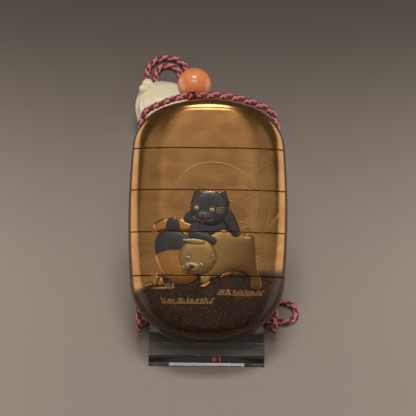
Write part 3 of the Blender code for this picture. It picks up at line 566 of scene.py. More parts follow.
    def lay(self, x: np.ndarray, z: np.ndarray) -> dict[str, np.ndarray]:
        """Works out the picture at places on the front.

        Args:
            x: Places across the front, in metres.
            z: Places up the front, in metres.

        Returns:
            The height in metres under "height", and how much of each tint lies there under its name.
        """
        x, z = x / MM, z / MM + self.lift
        height = np.zeros(x.shape)
        cover = {tint: np.zeros(x.shape) for tint in Tint}
        for item in self.items:
            thin = isinstance(item, Stroke)
            rounds = item.smooth if isinstance(item, Mound) else 2
            line = cut_corners(item.points if thin else item.outline, not thin, rounds)
            reach = item.width if thin else 1.0
            low, high = line.min(axis=0) - reach, line.max(axis=0) + reach
            near = np.flatnonzero((x > low[0]) & (x < high[0]) & (z > low[1]) & (z < high[1]))
            if not len(near):
                continue
            px, pz = x[near], z[near]
            away = line_distance(px, pz, line, not thin)
            within = item.width / 2 - away if thin else np.where(inside(px, pz, line), away, -away)
            if thin:
                share = np.clip(within / self.edge + 0.5, 0, 1) * item.strength
                height[near] += item.rise * share
            elif isinstance(item, Dye):
                share = np.clip(within / item.soft + 0.5, 0, 1) * (height[near] > self.raised_from)
            else:
                share = np.clip(within / self.edge + 0.5, 0, 1)
                level = np.clip(within / item.rounding, 0, 1)
                top = item.base + item.swell * np.sqrt(1 - (1 - level) ** 2)
                height[near] = height[near] * (1 - (0 if item.added else share)) + top * share
            for tint in Tint:
                cover[tint][near] *= 1 - share
            cover[item.tint][near] += share
        result = {tint.value: values for tint, values in cover.items()}
        result["height"] = height * MM
        return result


# Finishes


@dataclass(frozen=True)
class GoldLacquer:
    """Gold lacquer that darkens to a speckled brown at the foot, with the picture's own tints, painted shade on the
    gilt figures and a painted dark reflection along the rims.
    """

    shape: CaseShape
    ground: Colour = (0.46, 0.225, 0.066)
    ground_deep: Colour = (0.34, 0.145, 0.036)
    side: Colour = (0.13, 0.052, 0.013)
    # Colour of the painted dark reflection along the outermost rims.
    dusk: Colour = (0.022, 0.0092, 0.0036)
    dusk_red: Colour = (0.085, 0.028, 0.009)
    gilt: Colour = (0.37, 0.215, 0.070)
    # The gilt figures' colour in painted shade, used towards their lower right.
    gilt_in_shade: Colour = (0.185, 0.092, 0.026)
    amber: Colour = (0.58, 0.255, 0.060)
    slate: Colour = (0.024, 0.021, 0.020)
    line: Colour = (0.56, 0.30, 0.10)
    pale: Colour = (0.66, 0.57, 0.40)
    red: Colour = (0.45, 0.01, 0.012)

    def build(self) -> bpy.types.Material:
        """Makes the material."""
        made, graph, shader = new_material("gold_lacquer")
        turn = (self.shape.lean - math.pi / 2, 0.0, 0.0)
        on_case = graph.moved(graph.place(), (MM, MM, MM), self.shape.centre, turn)
        dusk = graph.attribute("dusk")
        cloud = graph.noise(graph.moved(on_case, (9.0, 9.0, 6.0)), detail=4)
        brush = graph.noise(graph.moved(on_case, (7.0, 1.2, 0.22)), detail=5, rough=0.6)
        flake = graph.add("ShaderNodeTexVoronoi", None, {"Vector": on_case, "Scale": 5.5}, "Color")
        grain = graph.add("ShaderNodeSeparateColor", None, {0: flake}, 0)
        fleck = grain.ramp(0.80, 0.86)
        ground = graph.colour(cloud.ramp(0.35, 0.68), self.ground, self.ground_deep)
        ground = graph.colour(brush.ramp(0.35, 0.75) * 0.35, ground, self.line)
        ground = graph.colour(grain.ramp(0.55, 1.0) * 0.22, ground, self.line)
        speckle = graph.noise(on_case, 2.6, detail=2, rough=0.7)
        foot = graph.colour(cloud.ramp(0.5, 0.75), self.dusk, self.dusk_red)
        foot = graph.colour(fleck * speckle.ramp(0.45, 0.62) * 0.75, foot, self.ground_deep)
        dark = (dusk + (speckle - 0.5) * 0.9 * (1 - dusk) * dusk * 4).ramp(0.25, 0.8)
        colour = graph.colour(dark, ground, foot)
        shine = graph.number(dark, 0.85, 0.35)
        rough = graph.number(dark, 0.17 + brush * 0.07, 0.34)
        fur = graph.noise(graph.moved(on_case, (1.6, 1.0, 0.16), (0, 0, 0), (0, 0.5, 0)), detail=3)
        across = graph.add("ShaderNodeSeparateXYZ", None, {0: on_case}, "X")
        up = graph.add("ShaderNodeSeparateXYZ", None, {0: on_case}, "Z")
        # Painted shade: the gilt figures darken towards the lower right, with fur noise along the change, as if lit
        # from the upper left.
        painted_gilt_shade = (across - up * 0.5 + (fur - 0.5) * 14).ramp(4.0, 26.0)
        amber_deep, slate_pale = tuple(0.72 * v for v in self.amber), tuple(2.6 * v for v in self.slate)
        for tint, paint, metal, matt in (
            (Tint.GILT, graph.colour(painted_gilt_shade, self.gilt, self.gilt_in_shade), 0.75, 0.42),
            (Tint.AMBER, graph.colour(fur.ramp(0.3, 0.8), self.amber, amber_deep), 0.85, 0.36),
            (Tint.SLATE, graph.colour(fur.ramp(0.35, 0.8), self.slate, slate_pale), 0.15, 0.46),
            (Tint.LINE, self.line, 0.9, 0.32),
            (Tint.FAINT, tuple(1.12 * v for v in self.line), 0.9, 0.40),
            (Tint.INK, (0.012, 0.009, 0.007), 0.0, 0.35),
            (Tint.PALE, self.pale, 0.1, 0.34),
            (Tint.RED, self.red, 0.0, 0.3),
        ):
            share = graph.attribute(tint.value)
            if tint is Tint.FAINT:
                share = share * 0.55
            colour = graph.colour(share, colour, paint)
            shine = graph.number(share, shine, metal)
            rough = graph.number(share, rough, matt)
        relief = brush * 0.5 + speckle * 0.25 + fur * graph.attribute(Tint.SLATE.value) * 1.2
        relief = relief + fur * graph.attribute(Tint.GILT.value) * 0.8
        # Painted reflection: the outermost rims turn dark, as if they mirrored the dark surroundings.
        side = graph.attribute("side")
        colour = graph.colour(side, colour, self.side)
        raised = graph.attribute(Tint.SLATE.value) + graph.attribute(Tint.GILT.value) + dark * 0.9
        wear(graph, shader, {
            "Base Color": colour, "Metallic": shine, "Roughness": rough,
            "Coat Weight": 0.45 - raised * 0.33 - side * 0.25, "Coat Roughness": 0.07,
            "Normal": graph.bump(relief, 0.00006, 0.55),
        })
        return made


@dataclass(frozen=True)
class Coral:
    """Polished orange coral with faint growth lines."""

    centre: Point3
    colour: Colour = (1.0, 0.33, 0.115)
    deep: Colour = (0.86, 0.20, 0.055)
    pale: Colour = (1.0, 0.50, 0.25)

    def build(self) -> bpy.types.Material:
        """Makes the material."""
        made, graph, shader = new_material("coral")
        around = graph.moved(graph.place(), (MM, MM, MM), self.centre)
        bands = graph.noise(graph.moved(around, (5.0, 5.0, 0.8), (0, 0, 0), (0.3, 0.2, 0)), detail=3)
        cloud = graph.noise(around, 0.35, detail=2)
        colour = graph.colour(bands.ramp(0.45, 0.75) * 0.5, self.colour, self.deep)
        colour = graph.colour(cloud.ramp(0.5, 0.8) * 0.5, colour, self.pale)
        wear(graph, shader, {
            "Base Color": colour, "Roughness": 0.26 + bands * 0.08, "Coat Weight": 0.55, "Coat Roughness": 0.06,
            "Subsurface Weight": 0.12, "Subsurface Radius": (0.9, 0.35, 0.15), "Subsurface Scale": 0.002,
            "Normal": graph.bump(bands, 0.00002, 0.3),
        })
        return made


@dataclass(frozen=True)
class Ivory:
    """Polished ivory-like material, yellow in its folds."""

    centre: Point3
    colour: Colour = (0.98, 0.86, 0.62)
    fold: Colour = (0.46, 0.27, 0.09)
    warm: Colour = (0.93, 0.76, 0.48)

    def build(self) -> bpy.types.Material:
        """Makes the material."""
        made, graph, shader = new_material("ivory")
        around = graph.moved(graph.place(), (MM, MM, MM), self.centre)
        cloud = graph.noise(around, 0.16, detail=3)
        grain = graph.noise(graph.moved(around, (9.0, 0.5, 3.0)), detail=4)
        colour = graph.colour(cloud.ramp(0.42, 0.7) * 0.6, self.colour, self.warm)
        colour = graph.colour(grain.ramp(0.5, 0.8) * 0.25, colour, self.warm)
        colour = graph.colour(graph.attribute("fold").ramp(0.15, 0.95) * 0.85, colour, self.fold)
        wear(graph, shader, {
            "Base Color": colour, "Roughness": 0.30 + cloud * 0.12, "Coat Weight": 0.35, "Coat Roughness": 0.15,
            "Subsurface Weight": 0.15, "Subsurface Radius": (0.8, 0.5, 0.25), "Subsurface Scale": 0.002,
            "Normal": graph.bump(grain, 0.00003, 0.35),
        })
        return made


@dataclass(frozen=True)
class Silk:
    """Braided silk: some strands dark red, some rose, with fine twisted threads."""

    dark: Colour = (0.13, 0.014, 0.018)
    rose: Colour = (0.80, 0.225, 0.25)
    thread: Colour = (0.90, 0.42, 0.46)

    def build(self) -> bpy.types.Material:
        """Makes the material."""
        made, graph, shader = new_material("silk_cord")
        place = graph.moved(graph.place(), (MM, MM, MM))
        rose = graph.attribute("rose")
        along = graph.attribute("along")
        twist = ((along * (2 * math.pi / 0.00042)).sine() * 0.5 + 0.5) * graph.noise(place, 2.2, detail=2)
        fuzz = graph.noise(place, 5.0, detail=3, rough=0.7)
        colour = graph.colour(rose, self.dark, self.rose)
        colour = graph.colour(twist.ramp(0.25, 0.8) * 0.4, colour, self.thread)
        colour = graph.colour(fuzz.ramp(0.55, 0.8) * 0.35, colour, self.dark)
        wear(graph, shader, {
            "Base Color": colour, "Roughness": 0.42 + fuzz * 0.2, "Sheen Weight": 0.12, "Sheen Roughness": 0.35,
            "Sheen Tint": (0.95, 0.6, 0.62), "Specular IOR Level": 0.55,
            "Normal": graph.bump(twist + fuzz * 0.6, 0.00005, 0.6),
        })
        return made


@dataclass(frozen=True)
class ClearAcrylic:
    """Clear polished acrylic."""

    tint: Colour = (0.985, 0.992, 0.99)

    def build(self) -> bpy.types.Material:
        """Makes the material, see-through by plain values on the shader."""
        made, graph, shader = new_material("clear_acrylic")
        haze = graph.noise(graph.place(), 260.0, detail=2)
        wear(graph, shader, {
            "Base Color": self.tint, "Roughness": 0.012 + haze * 0.014, "IOR": 1.49,
            "Transmission Weight": 1.0,
        })
        return made


@dataclass(frozen=True)
class TableCloth:
    """Plain warm grey cloth of the floor, with painted shade that darkens it towards the back."""

    colour: Colour = (0.40, 0.345, 0.305)
    deep: Colour = (0.34, 0.29, 0.255)
    # The colour of the painted shade at the back of the floor.
    far: Colour = (0.105, 0.085, 0.071)

    def build(self) -> bpy.types.Material:
        """Makes the material."""
        made, graph, shader = new_material("plain_floor")
        place = graph.moved(graph.place(), (MM, MM, MM))
        weave = graph.noise(place, 1.4, detail=4, rough=0.7)
        cloud = graph.noise(place, 0.02, detail=2)
        colour = graph.colour(weave.ramp(0.3, 0.7) * 0.6 + cloud * 0.2, self.colour, self.deep)
        # Painted shade: the cloth darkens from 20 mm to 215 mm back, standing in for the light's falloff.
        away = graph.add("ShaderNodeSeparateXYZ", None, {0: place}, "Y")
        colour = graph.colour(away.ramp(20.0, 215.0), colour, self.far)
        wear(graph, shader, {
            "Base Color": colour, "Roughness": 0.9, "Sheen Weight": 0.1, "Normal": graph.bump(weave, 0.0001, 0.5),
        })
        return made


# Helpers for meshes


def placed(name: str, data: Any) -> bpy.types.Object:
    """A new object in the scene."""
    made = bpy.data.objects.new(name, data)
    bpy.context.scene.collection.objects.link(made)
    return made


def add_object(name: str, mesh: bpy.types.Mesh, finish: bpy.types.Material) -> bpy.types.Object:
    """Puts a mesh in the scene as a smooth object with one material."""
    mesh.materials.clear()
    mesh.materials.append(finish)
    mesh.shade_smooth()
    return placed(name, mesh)


def hand_over(piece: bpy.types.Object, node: str) -> bpy.types.Object:
    """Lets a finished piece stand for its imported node, and reports it."""
    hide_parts(node)
    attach(piece, BODY)
    LOG.info("%s: %d faces", piece.name, len(piece.data.polygons))
    return piece


def kept(bm: bmesh.types.BMesh, name: str) -> bpy.types.Mesh:
    """The mesh of a bmesh, which is freed."""
    mesh = bpy.data.meshes.new(name)
    bm.to_mesh(mesh)
    bm.free()
    return mesh


def rings_mesh(name: str, rings: np.ndarray) -> bpy.types.Mesh:
    """A closed mesh through rings of equally many points, with flat caps at both ends.

    Args:
        name: The mesh's name.
        rings: Points by ring, place in the ring and coordinate.

    Returns:
        The mesh, with its faces turned out.
    """
    count, around = rings.shape[:2]
    index = np.arange(count * around).reshape(count, around)
    after = np.roll(index, -1, axis=1)
    quads = np.stack((index[:-1], after[:-1], after[1:], index[1:]), axis=2).reshape(-1, 4)
    mesh = bpy.data.meshes.new(name)
    mesh.from_pydata(rings.reshape(-1, 3).tolist(), [], quads.tolist() + [index[0].tolist(), index[-1].tolist()])
    turned_out(mesh)
    return mesh


def turned_out(mesh: bpy.types.Mesh) -> None:
    """Turns a closed mesh's faces out."""
    bm = bmesh.new()
    bm.from_mesh(mesh)
    bmesh.ops.recalc_face_normals(bm, faces=bm.faces)
    bm.to_mesh(mesh)
    bm.free()


def store(mesh: bpy.types.Mesh, name: str, values: np.ndarray) -> None:
    """Keeps a number for each vertex."""
    layer = mesh.attributes.new(name, "FLOAT", "POINT")
    layer.data.foreach_set("value", np.ascontiguousarray(values, dtype=np.float32))


def points_of(mesh: bpy.types.Mesh) -> np.ndarray:
    """A mesh's vertices, one a row."""
    flat = np.empty(len(mesh.vertices) * 3, dtype=np.float32)
    mesh.vertices.foreach_get("co", flat)
    return flat.reshape(-1, 3).astype(float)


def apply_modifiers(piece: bpy.types.Object) -> None:
    """Turns an object's evaluated result into its plain mesh and clears its modifiers."""
    graph = bpy.context.evaluated_depsgraph_get()
    result = bpy.data.meshes.new_from_object(piece.evaluated_get(graph))
    piece.modifiers.clear()
    old, piece.data = piece.data, result
    bpy.data.meshes.remove(old)


def cut(piece: bpy.types.Object, cutters: Iterable[bpy.types.Object]) -> None:
    """Cuts closed shapes out of a piece."""
    for cutter in cutters:
        step = piece.modifiers.new(cutter.name, "BOOLEAN")
        step.operation, step.solver, step.object = "DIFFERENCE", "EXACT", cutter
    apply_modifiers(piece)


def discard(cutters: Iterable[bpy.types.Object]) -> None:
    """Takes used cutters out of the scene."""
    for cutter in cutters:
        bpy.data.objects.remove(cutter, do_unlink=True)


# The case


@dataclass
class Case:
    """The five tiers, hollow and empty, each with its lip, recess and cord channels."""

    shape: CaseShape
    picture: Picture
    seams: tuple[float, ...] = (0.02555, 0.01025, -0.00515, -0.02115)
    gap: float = 0.0003
    end_wall: float = 0.0020
    front_wall: float = 0.0024
    floor: float = 0.0014
    lip_height: float = 0.0040
    lip_clearance: float = 0.0003
    recess_half: Point2 = (0.02225, 0.0101)
    lip_half: Point2 = (0.02195, 0.0098)
    cavity_half: Point2 = (0.02075, 0.0086)
    channel_x: float = 0.0249
    channel_radius: float = 0.00155
    mouth_flare: float = 0.0010
    mouth_depth: float = 0.0022
    chamfer: float = 0.00013
    pitch: float = 0.00022
    flat_share: float = 0.9
    steps: int = 190
    fine_steps: int = 250

    def shares(self, steps: int) -> np.ndarray:
        """The section's outline as shares of its half sizes, with most points along the front."""
        def depth(share: float) -> float:
            """The section's depth there."""
            return float(self.shape.superellipse(np.array([share]))[0])

        flat = self.flat_share
        rises = np.linspace(depth(flat), 0.0, 15)[1:-1]
        front = [(x, -depth(x)) for x in np.linspace(-flat, flat, steps)]
        back = [(x, depth(x)) for x in np.linspace(flat, -flat, max(steps // 4, 24))]
        right = [(depth(y), -y) for y in rises] + [(1.0, 0.0)] + [(depth(y), y) for y in reversed(rises)]
        return np.array(front + right + back + [(-x, -y) for x, y in right])

    def ring(self, shares: np.ndarray, half: Point2, z: float) -> np.ndarray:
        """One ring of given half sizes at a height."""
        return np.column_stack((shares * np.array(half), np.full(len(shares), z)))

    def outer(self, shares: np.ndarray, heights: np.ndarray, draw_in: float = 0.0) -> np.ndarray:
        """Rings of the outside, with the picture raised on their front."""
        half_x = self.shape.half_width(heights)[:, None] - draw_in
        half_y = self.shape.half_depth(heights)[:, None] - draw_in
        x = shares[None, :, 0] * np.maximum(half_x, 0.00002)
        y = shares[None, :, 1] * half_y
        z = np.repeat(heights[:, None], len(shares), axis=1)
        front = (shares[None, :, 1] < 0) & (np.abs(shares[None, :, 0]) <= self.flat_share)
        raised = self.picture.lay(x.ravel(), z.ravel())["height"].reshape(x.shape)
        return np.stack((x, y - np.where(front, raised, 0.0), z), axis=2)

    def wall(self, shares: np.ndarray, low: float, high: float) -> list[np.ndarray]:
        """Outer rings between two seams, with a small chamfer along both."""
        rows = max(int(round((high - low) / self.pitch)), 2)
        heights = np.linspace(low + self.chamfer, high - self.chamfer, rows)
        rings = list(self.outer(shares, np.array([low]), self.chamfer))
        rings += list(self.outer(shares, heights))
        return rings + list(self.outer(shares, np.array([high]), self.chamfer))

    def end_rings(self, shares: np.ndarray, sign: int, edge: float) -> list[np.ndarray]:
        """Outer rings from a closed end's tip to an edge."""
        tip = sign * self.shape.height / 2
        rows = int(abs(edge - tip) / self.pitch)
        heights = tip + (edge - sign * -self.chamfer - tip) * np.linspace(0.03, 1.0, rows) ** 1.5
        rings = list(self.outer(shares, heights))
        return rings + list(self.outer(shares, np.array([edge]), self.chamfer))

    def end_cavity(self, shares: np.ndarray, sign: int, edge: float) -> list[np.ndarray]:
        """Inner rings of a closed end, from its tip to an edge."""
        tip = sign * (self.shape.height / 2 - self.end_wall)
        rings = []
        for z in tip + (edge - tip) * np.linspace(0.08, 1.0, 16) ** 2:
            out = np.array([z + sign * self.end_wall])
            half_x = min(self.cavity_half[0], float(self.shape.half_width(out)[0]))
            half_y = min(self.cavity_half[1], float(self.shape.half_depth(out)[0]) - self.front_wall)
            rings.append(self.ring(shares, (half_x, half_y), float(z)))
        return rings

    def lip(self, shares: np.ndarray, seam: float) -> list[np.ndarray]:
        """Rings from the seam up over the raised inner lip."""
        top = seam + self.lip_height
        ease = 0.0002
        return [
            self.ring(shares, self.lip_half, seam), self.ring(shares, self.lip_half, top - ease),
            self.ring(shares, (self.lip_half[0] - ease, self.lip_half[1] - ease), top),
            self.ring(shares, (self.cavity_half[0] + ease, self.cavity_half[1] + ease), top),
            self.ring(shares, self.cavity_half, top - ease),
        ]

    def tier_rings(self, number: int, shares: np.ndarray) -> list[np.ndarray]:
        """All rings of one tier, from its inside round its outside.

        Args:
            number: 0 for the lid, 4 for the closed bottom tier.
            shares: The section's outline.

        Returns:
            The rings in order.
        """
        depth = self.lip_height + self.lip_clearance
        recess = []
        if number < 4:
            low = self.seams[number] + self.gap
            recess = [self.ring(shares, self.recess_half, low + depth), self.ring(shares, self.recess_half, low)]
        if number == 0:
            inner = self.end_cavity(shares, 1, low + depth)
            return inner + recess + self.end_rings(shares, 1, low)[::-1]
        high = self.seams[number - 1]
        if number == 4:
            inner = self.end_cavity(shares, -1, high)
            return self.end_rings(shares, -1, high) + self.lip(shares, high) + inner[::-1]
        closing = [self.ring(shares, self.cavity_half, low + depth + self.floor)]
        return recess + self.wall(shares, low, high) + self.lip(shares, high) + closing

    def mouth(self, sign: int) -> float:
        """Height at which a cord channel comes out of a shoulder."""
        heights = np.linspace(0, self.shape.height / 2, 2000)
        wide = self.shape.half_width(sign * heights) > self.channel_x
        return sign * float(heights[wide][-1])

    def channel(self, x: float) -> bpy.types.Object:
        """The cutter of one cord channel, flared smoothly at both mouths."""
        top, bottom = self.mouth(1), self.mouth(-1)
        flare = [(share * self.mouth_depth, self.channel_radius + self.mouth_flare * (1 - share) ** 2)
                 for share in np.linspace(0, 1, 6)]
        far = self.shape.height
        profile = [(-far, flare[0][1])] + [(bottom + up, r) for up, r in flare]
        profile += [(top - up, r) for up, r in reversed(flare)] + [(far, flare[0][1])]
        turns = np.linspace(0, 2 * math.pi, 40, endpoint=False) + 0.03
        rings = np.array([[(x + r * math.cos(a), r * math.sin(a), z) for a in turns] for z, r in profile])
        return placed("channel_cutter", rings_mesh("channel_cutter", rings))

    def paint(self, mesh: bpy.types.Mesh) -> None:
        """Keeps the picture's tints, the foot's darkening and the rim's painted reflection on a tier that still
        stands upright.
        """
        points = points_of(mesh)
        x, y, z = points.T
        on_front = -y > self.shape.front(x, z) - 0.00045
        on_front &= np.abs(x) < self.shape.half_width(z) * (self.flat_share + 0.02)
        laid = self.picture.lay(x, z)
        for tint in Tint:
            store(mesh, tint.value, np.where(on_front, laid[tint.value], 0.0))
        half = np.maximum(self.shape.half_width(z), 1e-4)
        # The side number marks the outermost rim, which the material darkens as a painted reflection of the dark
        # surroundings.
        store(mesh, "side", np.clip((np.abs(x) / half - 0.958) / 0.016, 0, 1))
        across = x / (self.shape.width / 2)
        start = -0.0158 - 0.016 * np.clip(-across - 0.5, 0.0, 0.5) + 0.0012 * np.clip(across, -0.3, 1.0)
        dusk = np.clip((start - z) / 0.0080, 0, 1)
        store(mesh, "dusk", dusk * dusk * (3 - 2 * dusk))

    def build(self, finish: bpy.types.Material) -> list[bpy.types.Object]:
        """Builds the five tiers in their leaning place."""
        cutters = [self.channel(-self.channel_x), self.channel(self.channel_x)]
        tiers = []
        for number, name in enumerate(("lid", "case_1", "case_2", "case_3", "case_4")):
            shares = self.shares(self.fine_steps if number > 1 else self.steps)
            piece = add_object(f"{name}_lacquer", rings_mesh(name, np.array(self.tier_rings(number, shares))), finish)
            cut(piece, cutters)
            self.paint(piece.data)
            piece.data.transform(self.shape.to_world())
            piece.data.set_sharp_from_angle(angle=math.radians(42))
            tiers.append(hand_over(piece, name))
        discard(cutters)
        return tiers


# The cord, its bead, toggle and bow


@dataclass(frozen=True)
class Braid:
    """A round braid of eight strands, made along a line by Geometry Nodes."""

    strands: int = 8
    strand_radius: float = 0.00048
    middle_radius: float = 0.00066
    weave: float = 0.00012
    pitch: float = 0.0092
    spacing: float = 0.00040
    sides: int = 8

    def tree(self) -> tuple[bpy.types.NodeTree, dict[str, str]]:
        """Builds the node tree.

        Returns:
            The tree, and the identifier of each named input.
        """
        tree = bpy.data.node_groups.new("braid", "GeometryNodeTree")
        graph, add = Graph(tree), Graph(tree).add
        tree.interface.new_socket("Line", in_out="INPUT", socket_type="NodeSocketGeometry")
        named = {}
        for name in ("Strand radius", "Middle radius", "Weave", "Pitch", "Spacing", "Material"):
            kind = "Material" if name == "Material" else "Float"
            socket = tree.interface.new_socket(name, in_out="INPUT", socket_type=f"NodeSocket{kind}")
            named[name] = socket.identifier
        tree.interface.new_socket("Braid", in_out="OUTPUT", socket_type="NodeSocketGeometry")
        source = tree.nodes.new("NodeGroupInput")
        entry = {name: Wire(graph, source.outputs[name]) for name in ("Line", *named)}
        curve = add("GeometryNodeMeshToCurve", None, {0: entry["Line"]})
        curve = add("GeometryNodeResampleCurve", {"mode": "LENGTH"}, {"Curve": curve, "Length": entry["Spacing"]})
        curve = add("GeometryNodeSetCurveNormal", {"mode": "MINIMUM_TWIST"}, {0: curve})
        copies = add("GeometryNodeDuplicateElements", {"domain": "SPLINE"}, {0: curve, 2: self.strands})
        number = Wire(graph, copies.socket.node.outputs[1])
        along = add("GeometryNodeSplineParameter", None, None, "Length")
        hand = number.modulo(2.0) * 2 - 1
        quarter = (number / 2).floor()
        turn = hand * along * (2 * math.pi) / entry["Pitch"] + quarter * (math.pi / 2)
        radius = entry["Middle radius"] + hand * (turn * 4).cosine() * entry["Weave"]
        normal, tangent = add("GeometryNodeInputNormal"), add("GeometryNodeInputTangent")
        side = add("ShaderNodeVectorMath", {"operation": "CROSS_PRODUCT"}, {0: tangent, 1: normal})
        out = add("ShaderNodeVectorMath", {"operation": "SCALE"}, {0: normal, "Scale": radius * turn.cosine()})
        across = add("ShaderNodeVectorMath", {"operation": "SCALE"}, {0: side, "Scale": radius * turn.sine()})
        offset = add("ShaderNodeVectorMath", {"operation": "ADD"}, {0: out, 1: across})
        moved = add("GeometryNodeSetPosition", None, {0: copies, "Offset": offset})
        for name, value in (("rose", quarter.modulo(2.0)), ("along", along)):
            moved = add("GeometryNodeStoreNamedAttribute", {"data_type": "FLOAT", "domain": "POINT"},
                        {0: moved, "Name": name, "Value": value})
        profile = add("GeometryNodeCurvePrimitiveCircle", None,
                      {"Resolution": self.sides, "Radius": entry["Strand radius"]})
        mesh = add("GeometryNodeCurveToMesh", None, {0: moved, 1: profile, "Fill Caps": True})
        real = add("GeometryNodeRealizeInstances", None, {0: mesh})
        dressed = add("GeometryNodeSetMaterial", None, {0: real, "Material": entry["Material"]})
        tree.links.new(dressed.socket, tree.nodes.new("NodeGroupOutput").inputs[0])
        return tree, named

    def along(self, name: str, route: np.ndarray, finish: bpy.types.Material,
              closed: bool = False) -> bpy.types.Object:
        """Braids a cord along a route.

        Args:
            name: The piece's name.
            route: The route's points, close together.
            finish: Its material.
            closed: Whether the route's end joins its start.

        Returns:
            The finished piece, a plain mesh.
        """
        tree, named = self.tree()
        mesh = bpy.data.meshes.new(name)
        edges = [(i, i + 1) for i in range(len(route) - 1)] + ([(len(route) - 1, 0)] if closed else [])
        mesh.from_pydata(route.tolist(), edges, [])
        piece = add_object(name, mesh, finish)
        step = piece.modifiers.new("braid", "NODES")
        step.node_group = tree
        values = {"Strand radius": self.strand_radius, "Middle radius": self.middle_radius, "Weave": self.weave,
                  "Pitch": self.pitch, "Spacing": self.spacing, "Material": finish}
        for label, value in values.items():
            step[named[label]] = value
        apply_modifiers(piece)
        piece.data.shade_smooth()
        return piece


def metres(points: Iterable[Point3]) -> list[Point3]:
    """Points in millimetres, in metres."""
    return [(x * MM, y * MM, z * MM) for x, y, z in points]


def smooth_route(points: Sequence[Point3] | np.ndarray, spacing: float) -> np.ndarray:
    """Evenly spaced points on a natural cubic curve through a route's own points.

    Args:
        points: The route's points.
        spacing: Distance between the new points.

    Returns:
        The new points, one a row.
    """
    route = np.array(points, dtype=float)
    chord = np.concatenate(([0.0], np.cumsum(np.linalg.norm(np.diff(route, axis=0), axis=1))))
    count, step = len(route), np.diff(chord)
    rows, right = np.eye(count), np.zeros((count, 3))
    for i in range(1, count - 1):
        rows[i, i - 1 : i + 2] = step[i - 1], 2 * (step[i - 1] + step[i]), step[i]
        right[i] = 6 * ((route[i + 1] - route[i]) / step[i] - (route[i] - route[i - 1]) / step[i - 1])
    curve = np.linalg.solve(rows, right)
    places = []
    for at in np.linspace(0.0, chord[-1], max(int(round(chord[-1] / spacing)), 2) + 1):
        i = min(max(int(np.searchsorted(chord, at)) - 1, 0), count - 2)
        after, before = at - chord[i], chord[i + 1] - at
        bent = (curve[i] * before**3 + curve[i + 1] * after**3) / (6 * step[i])
        low = (route[i] / step[i] - curve[i] * step[i] / 6) * before
        places.append(bent + low + (route[i + 1] / step[i] - curve[i + 1] * step[i] / 6) * after)
    return np.array(places)


